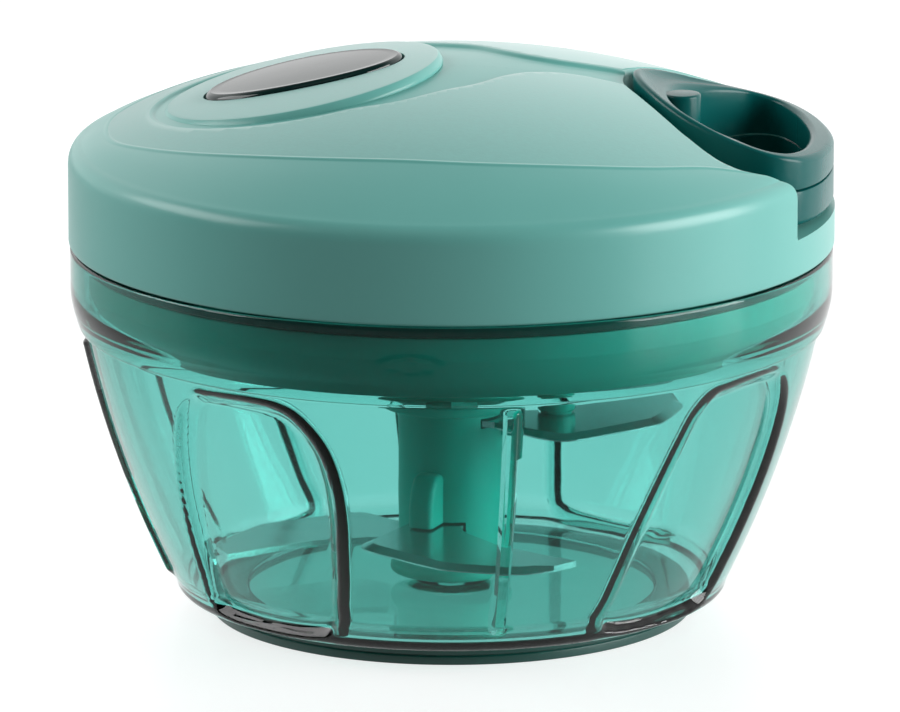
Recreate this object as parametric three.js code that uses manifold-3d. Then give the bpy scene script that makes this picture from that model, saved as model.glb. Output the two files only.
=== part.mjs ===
// Pull-cord food chopper: clear bowl, domed lid with a recoil drum, ring handle and blade column.
// Millimetres, +Z up, origin at the middle of the base. +X is the way the handle pulls out.
import * as THREE from "three";
import { mergeVertices } from "three/addons/utils/BufferGeometryUtils.js";
import Module from "manifold-3d";

const wasm = await Module();
wasm.setup();

// Fits and facet counts
const gap = 0.3;
const overrun = 6;
const sink = 0.2;
const weldDistance = 0.0001;
const wideSides = 48;
const middleSides = 28;
const smallSides = 12;
const hexSides = 6;

// Foot and bowl
const baseRingInset = 5.7;
const baseRingWidth = 5.8;
const baseRingHeight = 3.2;
const bowlHeelRadius = 45.3;
const bowlHeelRound = 1.8;
const bowlLedgeRadius = 60.3;
const bowlBellyShare = 0.7;
const bowlLedgeStep = 0.8;
const bowlCollarFlare = 2;
const bowlCollarHeight = 13.1;
const bowlCollarTaper = 6;
const bowlRimHeight = 61.2;
const bowlWall = 2.3;
const bowlFloor = 3;
const bowlUnderside = 1.6;
const bowlFloorRound = 3;
const bowlWallSteps = 4;
const pinBossRadius = 5;
const pinBossRise = 1.4;
const bowlPinRadius = 2.2;
const bowlPinHeight = 16;
const pinSeatDepth = 2.2;

// Grip panels, ribs and the small oval bead on the collar
const panelCount = 4;
const bowlTurnDegrees = 9.2;
const panelHalfWidth = 18;
const panelHeelGap = 0.3;
const panelLedgeGap = 1.7;
const panelDepth = 2.2;
const panelOutlineShares = [
  [-0.99, 0],
  [-1, 0.16],
  [-0.98, 0.36],
  [-0.93, 0.53],
  [-0.85, 0.69],
  [-0.76, 0.82],
  [-0.66, 0.92],
  [-0.5, 0.985],
  [-0.3, 1],
  [0.36, 1],
  [0.56, 0.97],
  [0.72, 0.9],
  [0.82, 0.82],
  [0.87, 0.71],
  [0.86, 0.55],
  [0.78, 0.36],
  [0.66, 0.16],
  [0.5, 0],
];
const ribHalfWidth = 1.1;
const ribProud = 0.8;
const ribLedgeGap = 0.9;
const ribHeelGap = 1.7;
const beadDegrees = -96;
const beadRise = 6.7;
const beadHalfLength = 4.8;
const beadHalfHeight = 1.9;
const beadWidth = 0.7;
const beadProud = 0.35;

// Lid cover
const lidProud = 0.2;
const lidWall = 2.3;
const shoulderRise = 15.1;
const shoulderRound = 2.2;
const crownRise = 30;
const crownDrop = 14.5;
const facetBulge = 0.5;
const ridgeAngles = [0, 11, 23, 33, 47, 63, 80, 94, 112, 129, 141, 149, 156, 180];
const ridgeReachShares = [
  0.9, 0.893, 0.852, 0.815, 0.766, 0.728, 0.71, 0.72, 0.753, 0.81, 0.861, 0.928, 0.953, 0.96,
];
const facetRingShare = 0.45;
const crownRingShares = [1, 0.7, 0.35];

// Round boss, badge and the smooth hollow between the boss and the handle
const bossRadius = 22.7;
const bossX = -24.2;
const bossRise = 0.3;
const badgeHalfLength = 16.1;
const badgeHalfWidth = 10.6;
const badgeX = -24;
const badgeThickness = 2;
const badgeProud = 0.6;
const hollowDepth = 0.7;
const hollowMargin = 1.8;
const hollowArcFirst = 68;
const hollowArcStep = 14;
const hollowSideShares = [
  [0.28, 0.9],
  [0.43, 0.71],
  [0.52, 0.59],
  [0.61, 0.37],
  [0.69, 0.24],
  [0.8, 0.17],
];

// Ring handle in two halves
const handleTipX = 29.5;
const handleInset = 0.2;
const handleHalfWidth = 23.2;
const handleRise = 6.8;
const handleSeamRise = 5.9;
const handleTipProud = 1.5;
const handleEndRise = 2.4;
const handleSag = 2;
const handleScoop = 1.3;
const handleEndSlope = 0.2;
const handleRound = 1.2;
const handleStations = 36;
const handleOutlineShares = [
  [0.02, 0.19],
  [0.1, 0.45],
  [0.21, 0.66],
  [0.36, 0.83],
  [0.52, 0.95],
  [0.68, 1],
  [0.8, 0.92],
  [0.9, 0.71],
  [0.97, 0.38],
];
const rimTipWidth = 5.9;
const rimEndWidth = 4.1;
const rimSideWidth = 1.8;
const fingerHoleShares = [
  [0.02, 0.22],
  [0.1, 0.46],
  [0.24, 0.68],
  [0.42, 0.87],
  [0.62, 1],
  [0.78, 0.95],
  [0.9, 0.72],
  [0.97, 0.4],
];
const anchorRadius = 3;
const anchorInset = 2.2;
const anchorDrop = 0.5;
const handleScrewY = 5.5;
const handleScrewInset = 3.9;
const handleScrewRadius = 1;
const handleScrewLength = 7;
const handleScrewHeadRadius = 1.5;
const handleScrewHeadHeight = 1.2;

// Recess for the handle in the lid
const handleSeatGap = 0.6;
const recessWall = 1.7;
const recessTipGap = 1.2;
const recessSideGap = 7.4;
const recessOutlineShares = [
  [0, 0.15],
  [0.07, 0.34],
  [0.155, 0.535],
  [0.285, 0.79],
  [0.43, 0.965],
  [0.54, 1],
  [0.66, 0.955],
  [0.78, 0.92],
  [1, 0.915],
];

// Closing plate with the skirt that fills the bowl's collar, seal and screws under the lid
const skirtLedgeGap = 1.1;
const skirtGap = 0.8;
const skirtWall = 2.7;
const plateDrop = 0.9;
const plateThickness = 2;
const plateLip = 0.5;
const plateLipWidth = 2;
const bearingBossRadius = 11.2;
const bearingBossDrop = 3.2;
const sealHeight = 1.7;
const sealWidth = 1.5;
const sealDrop = 0.6;
const screwInset = 10.2;
const screwAngles = [58, 140, 220, 302];
const screwRadius = 1.45;
const screwHeadRadius = 2.8;
const screwHeadHeight = 1.2;
const screwLength = 9;
const screwPostRadius = 3.6;

// Drive hub with its ratchet ring, and the pawls
const hubReach = 9.8;
const hubRadius = 7.9;
const hubFlangeRadius = 14.5;
const hubFlangeThickness = 1.6;
const ratchetHeight = 3.4;
const ratchetTipRadius = 11.1;
const ratchetToothDepth = 1.2;
const ratchetTeeth = 12;
const ratchetStepShare = 0.97;
const pawlCount = 2;
const pawlCircle = 7.4;
const pawlEyeRadius = 1.9;
const pawlPinRadius = 0.9;
const pawlThickness = 3;
const pawlReachDegrees = 26;
const pawlFaceDegrees = 5.4;
const pawlTipRadius = 11.75;
const pawlTipWidth = 1.25;

// Spindle, spool, arbor and recoil spring
const spindleRadius = 2.5;
const spindleCrownGap = 3.1;
const spindlePostRadius = 5;
const flangeThickness = 1.2;
const flangeRim = 7;
const drumWall = 2;
const drumFloor = 1.6;
const spoolCapRadius = 18;
const spoolCapThickness = 1.1;
const spoolCapSpigot = 1.2;
const arborRadius = 5;
const springStrip = 0.35;
const springTurns = 5;
const springStepsPerTurn = 16;
const springSideGap = 0.6;

// Cord, its guide and its knot
const cordRadius = 0.9;
const cordTurns = 3;
const cordPitch = 2.35;
const cordStepsPerTurn = 24;
const cordSides = 6;
const cordBendGap = 1;
const cordBendLength = 0.8;
const cordRunSteps = 14;
const guideRadius = 2.6;
const guideFlangeRadius = 3.8;
const guideFlangeThickness = 0.8;
const guideProud = 0.7;
const knotRadius = 1.9;

// Blade column, cap and stem
const columnRadius = 8.7;
const columnLift = 0.4;
const columnHeight = 27.6;
const columnFootFlare = 1.3;
const columnFootHeight = 2.6;
const columnBoreDepth = 15;
const bushRadius = 4;
const bushHeight = 6;
const capRadius = 12;
const capEdge = 1.9;
const capDome = 2.5;
const capShoulderShare = 0.8;
const capSpigotRadius = 4;
const capSpigotDepth = 3.6;
const stemRadius = 4.8;
const stemEngagement = 6.4;
const stemEndGap = 1.2;
const finDegrees = -113;
const finFootGap = 4.6;
const finHeight = 13.4;
const finProud = 4.7;
const finHalfWidth = 2.1;
const armDegrees = 0;
const studX = 17.2;
const studRadius = 2.6;
const studRingRadius = 3.1;
const studRingHeight = 2.7;
const studTopRise = 3.6;
const armThickness = 2;

// Blades
const bladeThickness = 1;
const bladeWallGap = 4.2;
const bladeRootDegrees = -42;
const bladeRootHalfWidth = 4.4;
const bladeRootRadius = 5.8;
const bladeNeckRadius = 9.6;
const lowerBladeRise = 4.1;
const middleBladeRise = 9;
const upperBladeDrop = 1.7;
const bladeTipDegrees = [-173, -65, 18];
const bladeEdgeDegrees = [-65, -59.5, -42, -32, -25, -10, -4, 0, 7];
const bladeEdgeShares = [0.515, 0.652, 0.747, 0.838, 0.902, 0.99, 1, 0.995, 0.967];
const bladeBackDegrees = [-6, -16];
const bladeBackShares = [0.606, 0.361];

// Heights and widths that follow from the sizes above
const baseRingRadius = bowlHeelRadius - baseRingInset;
const heelBottom = baseRingHeight + gap;
const heelTop = heelBottom + bowlHeelRound;
const innerFloor = bowlUnderside + bowlFloor;
const bowlLedgeHeight = bowlRimHeight - bowlCollarHeight;
const bowlCollarRadius = bowlLedgeRadius + bowlCollarFlare;
const collarInner = bowlCollarRadius - bowlWall;
const panelBottom = heelTop + panelHeelGap;
const panelTop = bowlLedgeHeight - panelLedgeGap;
const ribBottom = heelTop + ribHeelGap;
const ribTop = bowlLedgeHeight - ribLedgeGap;
const beadHeight = bowlLedgeHeight + beadRise;
const lidRadius = bowlCollarRadius + lidProud;
const lidInner = lidRadius - lidWall;
const lidBottom = bowlRimHeight + gap;
const shoulderHeight = lidBottom + shoulderRise;
const crownHeight = lidBottom + crownRise;
const crownRadius = (lidRadius * lidRadius) / (2 * crownDrop);
const handleEndX = lidRadius - handleInset;
const handleBottom = lidBottom + handleRise;
const handleSeam = handleBottom + handleSeamRise;
const handleTipHeight = crownAt(handleTipX) + handleTipProud;
const handleEndHeight = shoulderHeight + handleEndRise;
const fingerHoleTipX = handleTipX + rimTipWidth;
const fingerHoleEndX = handleEndX - rimEndWidth;
const fingerHoleHalfWidth = handleHalfWidth - rimSideWidth;
const anchorX = fingerHoleTipX + anchorInset;
const handleScrewX = handleTipX + handleScrewInset;
const recessFloor = handleBottom - handleSeatGap;
const recessTipX = handleTipX - recessTipGap;
const recessHalfWidth = handleHalfWidth + recessSideGap;
const skirtBottom = bowlLedgeHeight + skirtLedgeGap;
const skirtTaperTop = skirtBottom + bowlCollarTaper;
const plateBottom = lidBottom - plateDrop;
const plateTop = plateBottom + plateThickness;
const skirtRadius = collarInner - skirtGap;
const skirtInner = skirtRadius - skirtWall;
const screwCircle = skirtRadius - screwInset;
const sealTop = lidBottom - sealDrop;
const sealBottom = sealTop - sealHeight;
const sealOuter = collarInner - gap;
const sealInner = sealOuter - sealWidth;
const hubBottom = plateBottom - hubReach;
const hubFlangeBottom = plateTop + gap;
const ratchetBottom = hubFlangeBottom + hubFlangeThickness;
const ratchetTop = ratchetBottom + ratchetHeight;
const spindleBottom = plateBottom - gap;
const spindleTop = crownHeight - lidWall - spindleCrownGap;
const guideFlangeX = recessTipX - recessWall - gap;
const guideEndX = recessTipX + guideProud;
const cordBendX = guideFlangeX - guideFlangeThickness - cordBendGap;
const flangeRadius = cordBendX - cordRadius;
const drumRadius = flangeRadius - flangeRim;
const spoolBottom = ratchetTop + gap;
const drumBottom = spoolBottom + flangeThickness;
const windingRadius = drumRadius + gap + cordRadius;
const windingBottom = drumBottom + gap + cordRadius;
const windingTop = windingBottom + cordTurns * cordPitch;
const upperFlangeBottom = windingTop + cordRadius + gap;
const spoolTop = upperFlangeBottom + flangeThickness;
const cavityRadius = drumRadius - drumWall;
const cavityFloor = spoolBottom + drumFloor;
const spoolCapBottom = spoolTop + gap;
const spoolCapTop = spoolCapBottom + spoolCapThickness;
const arborTop = spoolCapTop + gap;
const postBottom = arborTop + gap;
const knotX = handleTipX + handleRound + knotRadius + gap;
const columnBottom = innerFloor + pinBossRise + columnLift;
const columnTop = columnBottom + columnHeight;
const bladeReach = bowlHeelRadius - bowlWall - bladeWallGap;
const bladeHeights = [
  columnBottom + lowerBladeRise,
  columnBottom + middleBladeRise,
  columnTop - upperBladeDrop,
];
const finBottom = columnBottom + finFootGap;
const finTop = finBottom + finHeight;
const finReach = columnRadius + finProud;
const stemBottom = columnTop + gap + capEdge;
const stemTop = hubBottom + stemEngagement;

// Helpers
const turn = Math.PI * 2;
const radians = THREE.MathUtils.degToRad;
const { lerp } = THREE.MathUtils;

function solid(geometry) {
  const bare = geometry.clone();
  bare.deleteAttribute("normal");
  bare.deleteAttribute("uv");
  const merged = mergeVertices(bare, weldDistance);
  const mesh = new wasm.Mesh({
    numProp: 3,
    vertProperties: new Float32Array(merged.attributes.position.array),
    triVerts: new Uint32Array(merged.index.array),
  });
  return new wasm.Manifold(mesh);
}

function geometryOf(body) {
  const mesh = body.getMesh();
  const geometry = new THREE.BufferGeometry();
  geometry.setAttribute("position", new THREE.BufferAttribute(new Float32Array(mesh.vertProperties), 3));
  geometry.setIndex(new THREE.BufferAttribute(new Uint32Array(mesh.triVerts), 1));
  geometry.computeVertexNormals();
  return geometry;
}

function fused(first, ...others) {
  return others.reduce((sum, next) => sum.add(next), first);
}

function cut(first, ...others) {
  return others.reduce((rest, next) => rest.subtract(next), first);
}

// A point in the plan from an angle in degrees and a radius
function polar(degrees, radius) {
  return [radius * Math.cos(radians(degrees)), radius * Math.sin(radians(degrees))];
}

// A body turned about Z from a profile of [radius, height] that runs anticlockwise
function turned(profile, sides = middleSides) {
  const points = profile.map(([radius, height]) => new THREE.Vector2(radius, height));
  return solid(new THREE.LatheGeometry(points, sides).rotateX(turn / 4));
}

function disc(radius, bottom, top, sides = middleSides) {
  return turned([[0, bottom], [radius, bottom], [radius, top], [0, top]], sides);
}

function ring(inner, outer, bottom, top, sides = middleSides) {
  return turned([[inner, bottom], [outer, bottom], [outer, top], [inner, top], [inner, bottom]], sides);
}

// A turned body whose profile changes with the plan angle
function shapedTurn(profileAt, sides = wideSides) {
  const first = profileAt(0);
  const points = first.map(([radius, height]) => new THREE.Vector2(radius, height));
  const geometry = new THREE.LatheGeometry(points, sides);
  const position = geometry.attributes.position;
  for (let i = 0; i <= sides; i++) {
    const angle = ((i % sides) / sides) * turn;
    const [x, y] = [Math.sin(angle), -Math.cos(angle)];
    profileAt(Math.acos(-x)).forEach(([radius, height], j) => {
      position.setXYZ(i * first.length + j, radius * x, radius * y, height);
    });
  }
  return solid(geometry);
}

function prism(outline, bottom, top, holes = []) {
  const shape = new THREE.Shape(outline.map(([x, y]) => new THREE.Vector2(x, y)));
  shape.holes = holes.map((hole) => new THREE.Path(hole.map(([x, y]) => new THREE.Vector2(x, y))));
  const geometry = new THREE.ExtrudeGeometry(shape, { depth: top - bottom, bevelEnabled: false });
  return solid(geometry.translate(0, 0, bottom));
}

function ellipse(x, halfLength, halfWidth, sides = middleSides) {
  const outline = [];
  for (let i = 0; i < sides; i++) {
    const [across, up] = polar((i * 360) / sides, 1);
    outline.push([x + halfLength * across, halfWidth * up]);
  }
  return outline;
}

// A prism that stands on the bowl's side: X of the outline runs round, Y runs up
function sidePrism(outline, degrees, inner, outer, holes) {
  const outward = new THREE.Vector3(...polar(degrees, 1), 0);
  const up = new THREE.Vector3(0, 0, 1);
  const along = up.clone().cross(outward);
  const stand = new THREE.Matrix4().makeBasis(along, up, outward);
  return prism(outline, inner, outer, holes).transform(stand.elements);
}

// A half outline of [along, across] shares, mirrored about the X axis and smoothed to a closed loop
function mirroredLoop(startX, endX, halfWidth, shares, count) {
  const half = shares.map(([along, across]) => [lerp(startX, endX, along), -across * halfWidth]);
  const loop = [[startX, 0], ...half, [endX, 0], ...half.map(([x, y]) => [x, -y]).reverse()];
  const curve = new THREE.CatmullRomCurve3(
    loop.map(([x, y]) => new THREE.Vector3(x, y, 0)),
    true,
  );
  return curve.getPoints(count).slice(0, count).map(({ x, y }) => [x, y]);
}

// An anticlockwise loop moved outward by a margin
function grown(loop, margin) {
  return loop.map(([x, y], i) => {
    const here = new THREE.Vector2(x, y);
    const arriving = here.clone().sub(new THREE.Vector2(...loop.at(i - 1))).normalize();
    const leaving = new THREE.Vector2(...loop[(i + 1) % loop.length]).sub(here).normalize();
    const way = arriving.add(leaving).normalize();
    const reach = margin / way.dot(leaving);
    return [x + way.y * reach, y - way.x * reach];
  });
}

// A closed ring between an outer and an inner loop. The section lists [inset from outside, height].
function ringBetween(outer, inner, sectionAt) {
  const vertices = [];
  const faces = [];
  const count = outer.length;
  outer.forEach(([outX, outY], i) => {
    const [inX, inY] = inner[i];
    const width = Math.hypot(inX - outX, inY - outY);
    const section = sectionAt(width);
    section.forEach(([inset, heightAt], j) => {
      const x = lerp(outX, inX, inset / width);
      const y = lerp(outY, inY, inset / width);
      vertices.push(x, y, heightAt(x));
      const here = i * section.length + j;
      const up = i * section.length + ((j + 1) % section.length);
      const next = ((i + 1) % count) * section.length + j;
      const nextUp = ((i + 1) % count) * section.length + ((j + 1) % section.length);
      faces.push(here, next, nextUp, here, nextUp, up);
    });
  });
  const geometry = new THREE.BufferGeometry();
  geometry.setAttribute("position", new THREE.Float32BufferAttribute(vertices, 3));
  geometry.setIndex(faces);
  return solid(geometry);
}

function cordTube(route, steps) {
  const section = new THREE.Shape(
    ellipse(0, cordRadius, cordRadius, cordSides).map(([x, y]) => new THREE.Vector2(x, y)),
  );
  return solid(new THREE.ExtrudeGeometry(section, { steps, extrudePath: route, bevelEnabled: false }));
}

// Bowl
function wallRadiusAt(height) {
  const share = (height - heelTop) / (bowlLedgeHeight - heelTop);
  const belly = lerp(bowlHeelRadius, bowlLedgeRadius, bowlBellyShare);
  return lerp(lerp(bowlHeelRadius, belly, share), lerp(belly, bowlLedgeRadius, share), share);
}

function wallProfile(from, to, inset) {
  const profile = [];
  for (let i = 0; i <= bowlWallSteps; i++) {
    const height = lerp(from, to, i / bowlWallSteps);
    profile.push([wallRadiusAt(height) - inset, height]);
  }
  return profile;
}

function bowlOutside(inset = 0) {
  const seat = baseRingRadius - baseRingWidth - gap;
  return turned(
    [
      [0, bowlUnderside],
      [seat, bowlUnderside],
      [seat, heelBottom],
      [bowlHeelRadius - bowlHeelRound - inset, heelBottom],
      [bowlHeelRadius - bowlHeelRound / 4 - inset, lerp(heelBottom, heelTop, 1 / 3)],
      ...wallProfile(heelTop, bowlLedgeHeight, inset),
      [bowlLedgeRadius + bowlLedgeStep - inset, bowlLedgeHeight],
      [bowlCollarRadius - inset, bowlLedgeHeight + bowlCollarTaper],
      [bowlCollarRadius - inset, bowlRimHeight],
      [0, bowlRimHeight],
    ],
    wideSides,
  );
}

function bowlInside(inset = 0) {
  const floorEdge = innerFloor + bowlFloorRound;
  const inner = bowlWall + inset;
  return turned(
    [
      [0, innerFloor],
      [wallRadiusAt(innerFloor) - inner - bowlFloorRound, innerFloor],
      [wallRadiusAt(floorEdge) - inner - bowlFloorRound / 3, innerFloor + bowlFloorRound / 3],
      ...wallProfile(floorEdge, bowlLedgeHeight, inner),
      [bowlCollarRadius - inner, bowlLedgeHeight + bowlCollarTaper],
      [bowlCollarRadius - inner, bowlRimHeight + overrun],
      [0, bowlRimHeight + overrun],
    ],
    wideSides,
  );
}

const panelOutline = panelOutlineShares
  .map(([across, up]) => [across * panelHalfWidth, lerp(panelBottom, panelTop, up)])
  .reverse();
const panelAngles = [];
const firstPanelDegrees = bowlTurnDegrees - 180 + 180 / panelCount;
for (let i = 0; i < panelCount; i++) panelAngles.push(firstPanelDegrees + (i * 360) / panelCount);

const pinBoss = disc(pinBossRadius, innerFloor - sink, innerFloor + pinBossRise);
const pinSeatBottom = innerFloor + pinBossRise - pinSeatDepth;
const pinHole = disc(bowlPinRadius + gap, pinSeatBottom - gap, innerFloor + overrun, smallSides);
const innerPads = panelAngles.map((degrees) => {
  const pad = sidePrism(grown(panelOutline, panelDepth / 2), degrees, bowlHeelRadius / 2, bowlCollarRadius);
  return pad.intersect(bowlInside(-sink)).subtract(bowlInside(panelDepth));
});
const panelCuts = panelAngles.map((degrees) => {
  const block = sidePrism(panelOutline, degrees, bowlHeelRadius / 2, bowlCollarRadius + overrun);
  return block.subtract(bowlOutside(panelDepth));
});
const ribOutline = [
  [ribHalfWidth, ribBottom],
  [ribHalfWidth, ribTop - ribHalfWidth],
  [0, ribTop],
  [-ribHalfWidth, ribTop - ribHalfWidth],
  [-ribHalfWidth, ribBottom],
];
const ribs = panelAngles.map((degrees) => {
  const between = degrees + 180 / panelCount;
  const bar = sidePrism(ribOutline, between, bowlHeelRadius / 2, bowlCollarRadius + overrun);
  return bar.intersect(bowlOutside(-ribProud)).subtract(bowlOutside(sink));
});
const beadOuter = ellipse(0, beadHalfLength, beadHalfHeight).map(([x, y]) => [x, y + beadHeight]);
const bead = sidePrism(
  beadOuter,
  beadDegrees,
  bowlHeelRadius,
  bowlCollarRadius + overrun,
  [grown(beadOuter, -beadWidth)],
).intersect(
  ring(bowlCollarRadius - sink, bowlCollarRadius + beadProud, bowlLedgeHeight, bowlRimHeight, wideSides),
);
const bowlShell = fused(cut(bowlOutside(), bowlInside()), ...innerPads, ...ribs, pinBoss, bead);
const bowl = cut(bowlShell, ...panelCuts, pinHole);
const baseRing = ring(baseRingRadius - baseRingWidth, baseRingRadius, 0, baseRingHeight, wideSides);
const bowlPin = disc(bowlPinRadius, 0, bowlPinHeight, smallSides);

// Lid cover
const ridgeSpline = new THREE.CubicInterpolant(ridgeAngles, ridgeReachShares, 1);

function crownAt(radius) {
  return crownHeight - (radius * radius) / (2 * crownRadius);
}

// Profile from the bottom of the lid to its middle, at an angle from the back of the lid
function lidProfile(angle, inset) {
  const radius = lidRadius - inset;
  const shoulder = shoulderHeight - inset;
  const bottom = inset ? lidBottom - overrun : lidBottom;
  const ridge = ridgeSpline.evaluate(THREE.MathUtils.radToDeg(angle))[0] * lidRadius - inset;
  const crown = crownRingShares.map((share) => [ridge * share, crownAt(ridge * share) - inset]);
  const wallTop = [radius - shoulderRound, shoulder + shoulderRound / 2];
  return [
    [0, bottom],
    [radius, bottom],
    [radius, shoulder - shoulderRound],
    [radius - shoulderRound / 3, shoulder - shoulderRound / 3],
    wallTop,
    [
      lerp(wallTop[0], ridge, facetRingShare),
      lerp(wallTop[1], crown[0][1], facetRingShare) + facetBulge * facetRingShare,
    ],
    ...crown,
    [0, crownHeight - inset],
  ];
}

const lidOutside = shapedTurn((angle) => lidProfile(angle, 0));
const lidInside = shapedTurn((angle) => lidProfile(angle, lidWall));
const lidTop = crownHeight + overrun;

function lidLayer(outline, rise, depth) {
  const block = prism(outline, recessFloor, lidTop);
  const below = block.intersect(lidOutside.translate([0, 0, rise]));
  return below.subtract(lidOutside.translate([0, 0, rise - depth]));
}

function recessOutline(margin) {
  const half = recessOutlineShares.map(([along, across]) => [
    lerp(recessTipX, lidRadius, along),
    across * recessHalfWidth,
  ]);
  const mouth = [lidRadius + overrun, recessHalfWidth];
  const loop = [...half, mouth].map(([x, y]) => [x, -y]);
  return grown([...loop, ...loop.map(([x, y]) => [x, -y]).reverse()], margin);
}

function hollowOutline() {
  const wide = bossRadius + hollowMargin;
  const half = [];
  for (let degrees = 180 - hollowArcStep; degrees >= hollowArcFirst; degrees -= hollowArcStep) {
    const [x, y] = polar(degrees, wide);
    half.push([bossX + x, y]);
  }
  hollowSideShares.forEach(([along, across]) => half.push([lerp(bossX, handleTipX, along), across * wide]));
  half.push([handleTipX, recessOutlineShares[0][1] * recessHalfWidth]);
  return [[bossX - wide, 0], ...half.map(([x, y]) => [x, -y]), ...half.reverse()];
}

const bossOutline = ellipse(bossX, bossRadius, bossRadius, wideSides);
const badgeOutline = ellipse(badgeX, badgeHalfLength, badgeHalfWidth);
const boss = lidLayer(bossOutline, bossRise, bossRise + lidWall / 2);
const hollowCut = prism(hollowOutline(), recessFloor, lidTop).subtract(
  lidOutside.translate([0, 0, -hollowDepth]),
);
const badgeCut = prism(grown(badgeOutline, gap), recessFloor, lidTop).subtract(
  lidOutside.translate([0, 0, bossRise - badgeThickness + badgeProud - gap]),
);
const recessTub = prism(recessOutline(recessWall), recessFloor - recessWall, lidTop).intersect(lidOutside);
const recessCut = prism(recessOutline(0), recessFloor, lidTop);
const underDome = lidInside.translate([0, 0, sink]);
const spindlePost = disc(spindlePostRadius, postBottom, lidTop, smallSides).intersect(underDome);
const screwPlaces = screwAngles.map((degrees) => polar(degrees, screwCircle));
const screwPosts = screwPlaces.map(([x, y]) =>
  disc(screwPostRadius, plateTop + gap, lidTop, smallSides).translate([x, y, 0]).intersect(underDome),
);
const screwSeat = plateBottom - gap;
const screwHoleTop = screwSeat + screwLength + gap;
const screwHoles = screwPlaces.map(([x, y]) =>
  disc(screwRadius + gap, plateBottom - overrun, screwHoleTop, smallSides).translate([x, y, 0]),
);
const spindleHole = disc(spindleRadius + gap, postBottom - gap, spindleTop + gap, smallSides);
const guideHole = disc(guideRadius + gap, 0, recessTipX + overrun, smallSides)
  .rotate([0, 90, 0])
  .translate([0, 0, handleSeam])
  .subtract(disc(flangeRadius, recessFloor, lidTop));
const lidShell = cut(cut(lidOutside, lidInside), hollowCut);
const lidCover = cut(
  fused(lidShell, boss, recessTub, spindlePost, ...screwPosts),
  recessCut,
  badgeCut,
  spindleHole,
  guideHole,
  ...screwHoles,
);
const badgePlate = lidLayer(badgeOutline, bossRise + badgeProud, badgeThickness);

// Closing plate with its skirt, seal groove and bearing
const bearingRadius = hubRadius + gap;
const lipRadius = lidInner - gap;
const lidBase = cut(
  turned(
    [
      [bearingRadius, plateBottom - bearingBossDrop],
      [bearingBossRadius, plateBottom - bearingBossDrop],
      [bearingBossRadius, plateBottom],
      [skirtInner, plateBottom],
      [skirtInner, skirtTaperTop],
      [skirtInner - bowlCollarFlare, skirtBottom],
      [skirtRadius - bowlCollarFlare, skirtBottom],
      [skirtRadius, skirtTaperTop],
      [skirtRadius, sealBottom - gap],
      [sealInner - gap, sealBottom - gap],
      [sealInner - gap, sealTop + gap],
      [skirtRadius, sealTop + gap],
      [skirtRadius, lidBottom],
      [lipRadius, lidBottom],
      [lipRadius, plateTop + plateLip],
      [lipRadius - plateLipWidth, plateTop + plateLip],
      [lipRadius - plateLipWidth, plateTop],
      [bearingRadius, plateTop],
      [bearingRadius, plateBottom - bearingBossDrop],
    ],
    wideSides,
  ),
  ...screwHoles,
);
const lidSeal = ring(sealInner, sealOuter, 0, sealHeight, wideSides);

function screw(shankRadius, length, headRadius, headHeight) {
  return turned(
    [
      [0, -headHeight],
      [headRadius, -headHeight],
      [headRadius, 0],
      [shankRadius, 0],
      [shankRadius, length],
      [0, length],
    ],
    smallSides,
  );
}

const lidScrew = screw(screwRadius, screwLength, screwHeadRadius, screwHeadHeight);

// Ring handle
const handleLoop = mirroredLoop(handleTipX, handleEndX, handleHalfWidth, handleOutlineShares, handleStations);
const holeLoop = mirroredLoop(
  fingerHoleTipX,
  fingerHoleEndX,
  fingerHoleHalfWidth,
  fingerHoleShares,
  handleStations,
);

function handleShareAt(x) {
  return THREE.MathUtils.clamp((x - handleTipX) / (handleEndX - handleTipX), 0, 1);
}

// The crest of the handle's rim sags between its ends
function handleTopAt(x) {
  const share = handleShareAt(x);
  return lerp(handleTipHeight, handleEndHeight, share) - handleSag * 4 * share * (1 - share);
}

// Near the tip the rim dips towards the finger hole, near the end it slopes away from the hole
function scoopedTopAt(x) {
  return handleTopAt(x) - handleScoop * Math.max(0, 1 - 2 * handleShareAt(x));
}

function slopedTopAt(x) {
  return handleTopAt(x) - handleEndSlope * Math.max(0, 2 * handleShareAt(x) - 1);
}

// Half of the handle from a flat face to a face with rounded edges
function handleHalf(flatHeight, outerAt, innerAt, roundSign) {
  const flat = () => flatHeight;
  return ringBetween(handleLoop, holeLoop, (width) => {
    const round = Math.min(handleRound, width / 3);
    const below = (faceAt, share) => (x) => faceAt(x) - roundSign * round * share;
    const section = [
      [0, flat],
      [0, below(outerAt, 1)],
      [round / 3, below(outerAt, 1 / 3)],
      [round, below(outerAt, 0)],
      [width - round, below(innerAt, 0)],
      [width - round / 3, below(innerAt, 1 / 3)],
      [width, below(innerAt, 1)],
      [width, flat],
    ];
    return roundSign > 0 ? section : section.reverse();
  });
}

const seamLow = handleSeam - gap / 2;
const seamHigh = handleSeam + gap / 2;
const anchor = disc(anchorRadius, handleBottom + anchorDrop, scoopedTopAt(anchorX) - anchorDrop, smallSides)
  .translate([anchorX, 0, 0]);
const cordHole = disc(cordRadius + gap, handleTipX - overrun, knotX, smallSides)
  .rotate([0, 90, 0])
  .translate([0, 0, handleSeam]);
const knotPocket = disc(knotRadius + gap, -knotRadius - gap, knotRadius + gap, smallSides)
  .translate([knotX, 0, handleSeam]);
const handleScrewSeat = handleBottom + gap + handleScrewHeadHeight;
const handleScrewPlaces = [-handleScrewY, handleScrewY].map((y) => [handleScrewX, y]);
const handleScrewHoles = handleScrewPlaces.map(([x, y]) =>
  screw(
    handleScrewRadius + gap,
    handleScrewLength + gap,
    handleScrewHeadRadius + gap,
    handleScrewHeadHeight + overrun,
  ).translate([x, y, handleScrewSeat + gap]),
);
const belowSeam = disc(lidRadius, handleBottom - overrun, seamLow, smallSides).translate([anchorX, 0, 0]);
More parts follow.
